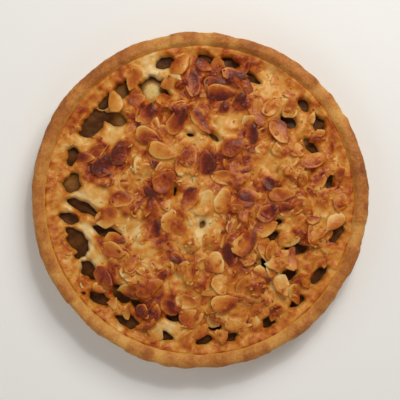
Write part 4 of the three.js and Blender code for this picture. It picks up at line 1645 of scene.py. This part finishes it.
@dataclass
class AlmondFlakes:
    """Almond flakes put on their places by one Geometry Nodes tree and made one mesh."""

    name: str
    flakes: list[Flake]
    around: int
    rings: tuple[tuple[float, float], ...]
    patterns: tuple[FlakePattern, ...]
    finish: bpy.types.Material
    bakes: BakeMap
    sugar: SugarMap
    own: float
    # How much paler the rims are: the thin edge, and painted highlight on it
    thin_rim_and_highlight: float
    proud: float = 0.06
    middle: tuple[float, float] = (-0.08, 0.26)
    seed: int = 71

    def build(self) -> bpy.types.Object:
        """Puts a blank on each place, turned and sized as the flake lies, and realises them."""
        blanks = self.blanks()
        carrier = self.places()
        tree = self.tree()
        modifier = carrier.modifiers.new("flakes", "NODES")
        modifier.node_group = tree
        collection = bpy.data.collections.new(self.name + "_blanks")
        for blank in blanks:
            collection.objects.link(blank)
        entries = [item for item in tree.interface.items_tree if item.in_out == "INPUT"]
        sockets = {item.name: item.identifier for item in entries}
        modifier[sockets["Blanks"]] = collection
        modifier[sockets["Finish"]] = self.finish
        bpy.context.view_layer.update()
        evaluated = carrier.evaluated_get(bpy.context.evaluated_depsgraph_get())
        mesh = bpy.data.meshes.new_from_object(evaluated)
        carrier.modifiers.clear()
        carrier.data = mesh
        while len(mesh.materials) > 1:
            mesh.materials.pop(index=0)
        for blank in blanks:
            bpy.data.objects.remove(blank)
        bpy.data.collections.remove(collection)
        self.toast(mesh)
        return carrier

    def toast(self, mesh: bpy.types.Mesh) -> None:
        """Gives each point its own bake: that of its place, its flake, and how high it stands, and paler at
        the rim, partly as painted highlight.
        """
        count = len(mesh.vertices)
        points = np.empty(count * 3)
        mesh.vertices.foreach_get("co", points)
        x, y, z = points.reshape(-1, 3).T / MM
        values = {}
        kinds = (("bake", "value", 1), ("rim", "value", 1), ("grain", "vector", 3), ("shade", "vector", 3))
        for label, key, width in kinds:
            values[label] = np.empty(count * width)
            mesh.attributes[label].data.foreach_get(key, values[label])
        u, v, _ = values["grain"].reshape(-1, 3).T
        shade_u, shade_v, heart = values["shade"].reshape(-1, 3).T
        here = self.bakes(x, y, 0.7)
        middle = between(self.middle[0], self.middle[1], heart) * (0.45 - u * u - v * v)
        bake = here + (values["bake"] - here) * self.own + shade_u * u + shade_v * v + middle
        bake += self.proud * np.clip(z - self.sugar.at(self.sugar.level, x, y), -2, 2.5)
        # Paler rim: partly the thin edge, partly painted highlight
        bake -= self.thin_rim_and_highlight * values["rim"] ** 5
        mesh.attributes["bake"].data.foreach_set("value", np.clip(bake, 0, 1).astype(np.float32))

    def blanks(self) -> list[bpy.types.Object]:
        """Returns the blanks: each way of curling, and some broken ones."""
        names = [f"{self.name}_blank_{i:02d}" for i in range(len(self.patterns))]
        return [pattern.build(name, self.around, self.rings) for name, pattern in zip(names, self.patterns)]

    def places(self) -> bpy.types.Object:
        """Returns a mesh of points with each flake's turn, size, kind, bake and shade."""
        random = RandomSource(self.seed)
        turns, sizes, shades = [], [], []
        for flake in self.flakes:
            cos, sin = math.cos(math.radians(flake.turn)), math.sin(math.radians(flake.turn))
            ahead = Vector((cos, sin, 2 * flake.slope_u / flake.length)).normalized()
            side = Vector((-sin, cos, 2 * flake.slope_v / flake.width)).normalized()
            up = ahead.cross(side).normalized()
            side = up.cross(ahead)
            turns.append(tuple(Matrix((ahead, side, up)).transposed().to_euler()))
            sizes.append((flake.length * MM, flake.width / WIDTH_SHARE * MM, flake.puff * MM))
            heading = random() * TAU
            strength = between(0.08, 0.4, random())
            shades.append((strength * math.cos(heading), strength * math.sin(heading), random()))
        places = np.array([(f.x, f.y, f.rest + FLAKE_MIDDLE) for f in self.flakes])
        values = {"bake": [f.bake for f in self.flakes], "turn": turns, "size": sizes, "shade": shades}
        values = {label: np.array(column) for label, column in values.items()}
        carrier = make_piece(self.name, places, [], values)
        layer = carrier.data.attributes.new("kind", "INT", "POINT")
        layer.data.foreach_set("value", np.array([f.kind for f in self.flakes], dtype=np.int32))
        return carrier

    def tree(self) -> bpy.types.NodeTree:
        """Builds the tree: a blank on each point, realised, with its finish."""
        tree = bpy.data.node_groups.new("lay_almond_flakes", "GeometryNodeTree")
        entries = (("Geometry", "Geometry"), ("Blanks", "Collection"), ("Finish", "Material"))
        for label, kind in entries:
            tree.interface.new_socket(label, in_out="INPUT", socket_type="NodeSocket" + kind)
        tree.interface.new_socket("Geometry", in_out="OUTPUT", socket_type="NodeSocketGeometry")
        nodes = tree.nodes
        source, result = nodes.new("NodeGroupInput"), nodes.new("NodeGroupOutput")
        blanks = nodes.new("GeometryNodeCollectionInfo")
        blanks.inputs["Separate Children"].default_value = True
        blanks.inputs["Reset Children"].default_value = True
        named = {}
        for label, kind in (("turn", "FLOAT_VECTOR"), ("size", "FLOAT_VECTOR"), ("kind", "INT")):
            named[label] = nodes.new("GeometryNodeInputNamedAttribute")
            named[label].data_type = kind
            named[label].inputs["Name"].default_value = label
        turn = nodes.new("FunctionNodeEulerToRotation")
        lay = nodes.new("GeometryNodeInstanceOnPoints")
        lay.inputs["Pick Instance"].default_value = True
        realise = nodes.new("GeometryNodeRealizeInstances")
        finish = nodes.new("GeometryNodeSetMaterial")
        joins = (
            (source, "Blanks", blanks, "Collection"),
            (named["turn"], "Attribute", turn, "Euler"),
            (source, "Geometry", lay, "Points"),
            (blanks, "Instances", lay, "Instance"),
            (named["kind"], "Attribute", lay, "Instance Index"),
            (turn, "Rotation", lay, "Rotation"),
            (named["size"], "Attribute", lay, "Scale"),
            (lay, "Instances", realise, "Geometry"),
            (realise, "Geometry", finish, "Geometry"),
            (source, "Finish", finish, "Material"),
            (finish, "Geometry", result, "Geometry"),
        )
        for giver, output, taker, entry in joins:
            tree.links.new(giver.outputs[output], taker.inputs[entry])
        return tree


@dataclass
class Studio:
    """A pale table, soft lights, and the camera straight above the tart."""

    frame_pixels: float = 400.0
    scale: float = 0.71
    tart_top: float = 28.0
    lens: float = 100.0
    sensor: float = 36.0
    off_centre: float = 0.5
    finish: FloorFinish = FloorFinish()

    def build(self) -> None:
        """Sets the table, the lights and the camera."""
        self.table()
        self.light("key_light", (0.32, 0.62, 0.85), 0.5, 7.4, (1.0, 0.985, 0.96))
        self.light("small_light", (0.2, 0.55, 0.95), 0.07, 1.5, (1.0, 0.99, 0.97))
        self.light("fill_light", (-0.75, -0.1, 0.8), 0.8, 1.8, (1.0, 0.985, 0.96))
        self.light("front_light", (0.1, -0.8, 0.7), 0.8, 1.2, (1.0, 1.0, 1.0))
        world = bpy.data.worlds.new("pale_room")
        world.use_nodes = True
        background = world.node_tree.nodes["Background"]
        background.inputs["Color"].default_value = (1.0, 0.97, 0.93, 1.0)
        background.inputs["Strength"].default_value = 0.24
        bpy.context.scene.world = world
        bpy.context.scene.view_settings.view_transform = "Standard"
        self.camera()

    def table(self) -> None:
        """Lays the table's top just under the tart."""
        reach, low = 3000.0, -0.2
        sides = ((-1, -1), (1, -1), (1, 1), (-1, 1))
        corners = np.array([(x * reach, y * reach, low) for x, y in sides])
        table = make_piece("studio_table", corners, [(0, 1, 2, 3)])
        table.data.materials.append(self.finish.build())

    @staticmethod
    def light(
        name: str, place: tuple[float, float, float], size: float, power: float, colour: Colour
    ) -> None:
        """Hangs a square soft light that looks at the tart.

        Args:
            name: Name of the light.
            place: Where it hangs, in metres.
            size: Width of the light.
            power: Its power in watts.
            colour: Its colour.
        """
        lamp = bpy.data.lights.new(name, "AREA")
        lamp.size = size
        lamp.energy = power
        lamp.color = colour
        hanger = bpy.data.objects.new(name, lamp)
        hanger.location = place
        hanger.rotation_euler = (-Vector(place)).to_track_quat("-Z", "Y").to_euler()
        bpy.context.scene.collection.objects.link(hanger)

    def camera(self) -> None:
        """Hangs the camera so that the tart has the photographed size and place."""
        width = self.frame_pixels * self.scale
        distance = width * self.lens / self.sensor
        data = bpy.data.cameras.new("view_from_above")
        data.lens = self.lens
        data.sensor_width = self.sensor
        data.clip_end = 20
        camera = bpy.data.objects.new("view_from_above", data)
        camera.location = (self.off_centre * self.scale * MM, 0, (self.tart_top + distance) * MM)
        bpy.context.scene.collection.objects.link(camera)
        bpy.context.scene.camera = camera


def main() -> None:
    """Builds the tart and its studio."""
    logging.basicConfig(level=logging.INFO, format="%(name)s: %(message)s")
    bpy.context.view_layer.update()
    Studio().build()
    plan, bakes = NetPlan(), BakeMap()
    below, top = AlmondLayout(plan, bakes).settle()
    log.info("openings %d, flakes below %d, on top %d", len(plan.openings), len(below), len(top))
    case = DoughCase(plan)
    dress(case.build(), case.finish.build(), "baked_dough", "dough_case")
    filling = ApricotFilling()
    dress(filling.build(), filling.finish.build(), "apricot_filling", "apricot_filling")
    net = DoughNet(plan, bakes)
    sugar = SugarMap(below, top, plan, bakes)
    dress(net.build(sugar), net.finish.build(), "almonds_in_sugar", "almond_net_topping")
    almond = AlmondFinish().build()
    crumbs = CrumbLayout(net, sugar).settle()
    # The last number of each row makes the rims paler: thin edges and painted highlight
    kinds = (
        ("almond_flakes", below, 14, PLAIN_RINGS, PATTERNS, 0.5, 0.04),
        ("top_almond_flakes", top, 22, FINE_RINGS, PATTERNS, 0.65, 0.12),
        ("almond_crumbs", crumbs, 7, CRUMB_RINGS, CRUMB_PATTERNS, 0.5, 0.04),
    )
    for name, flakes, around, rings, patterns, own, pale in kinds:
        layer = AlmondFlakes(
            name, flakes, around, rings, patterns, almond, bakes, sugar, own, pale, seed=71 + around
        )
        dress(layer.build(), almond, "almonds_in_sugar")


if __name__ == "__main__":
    main()
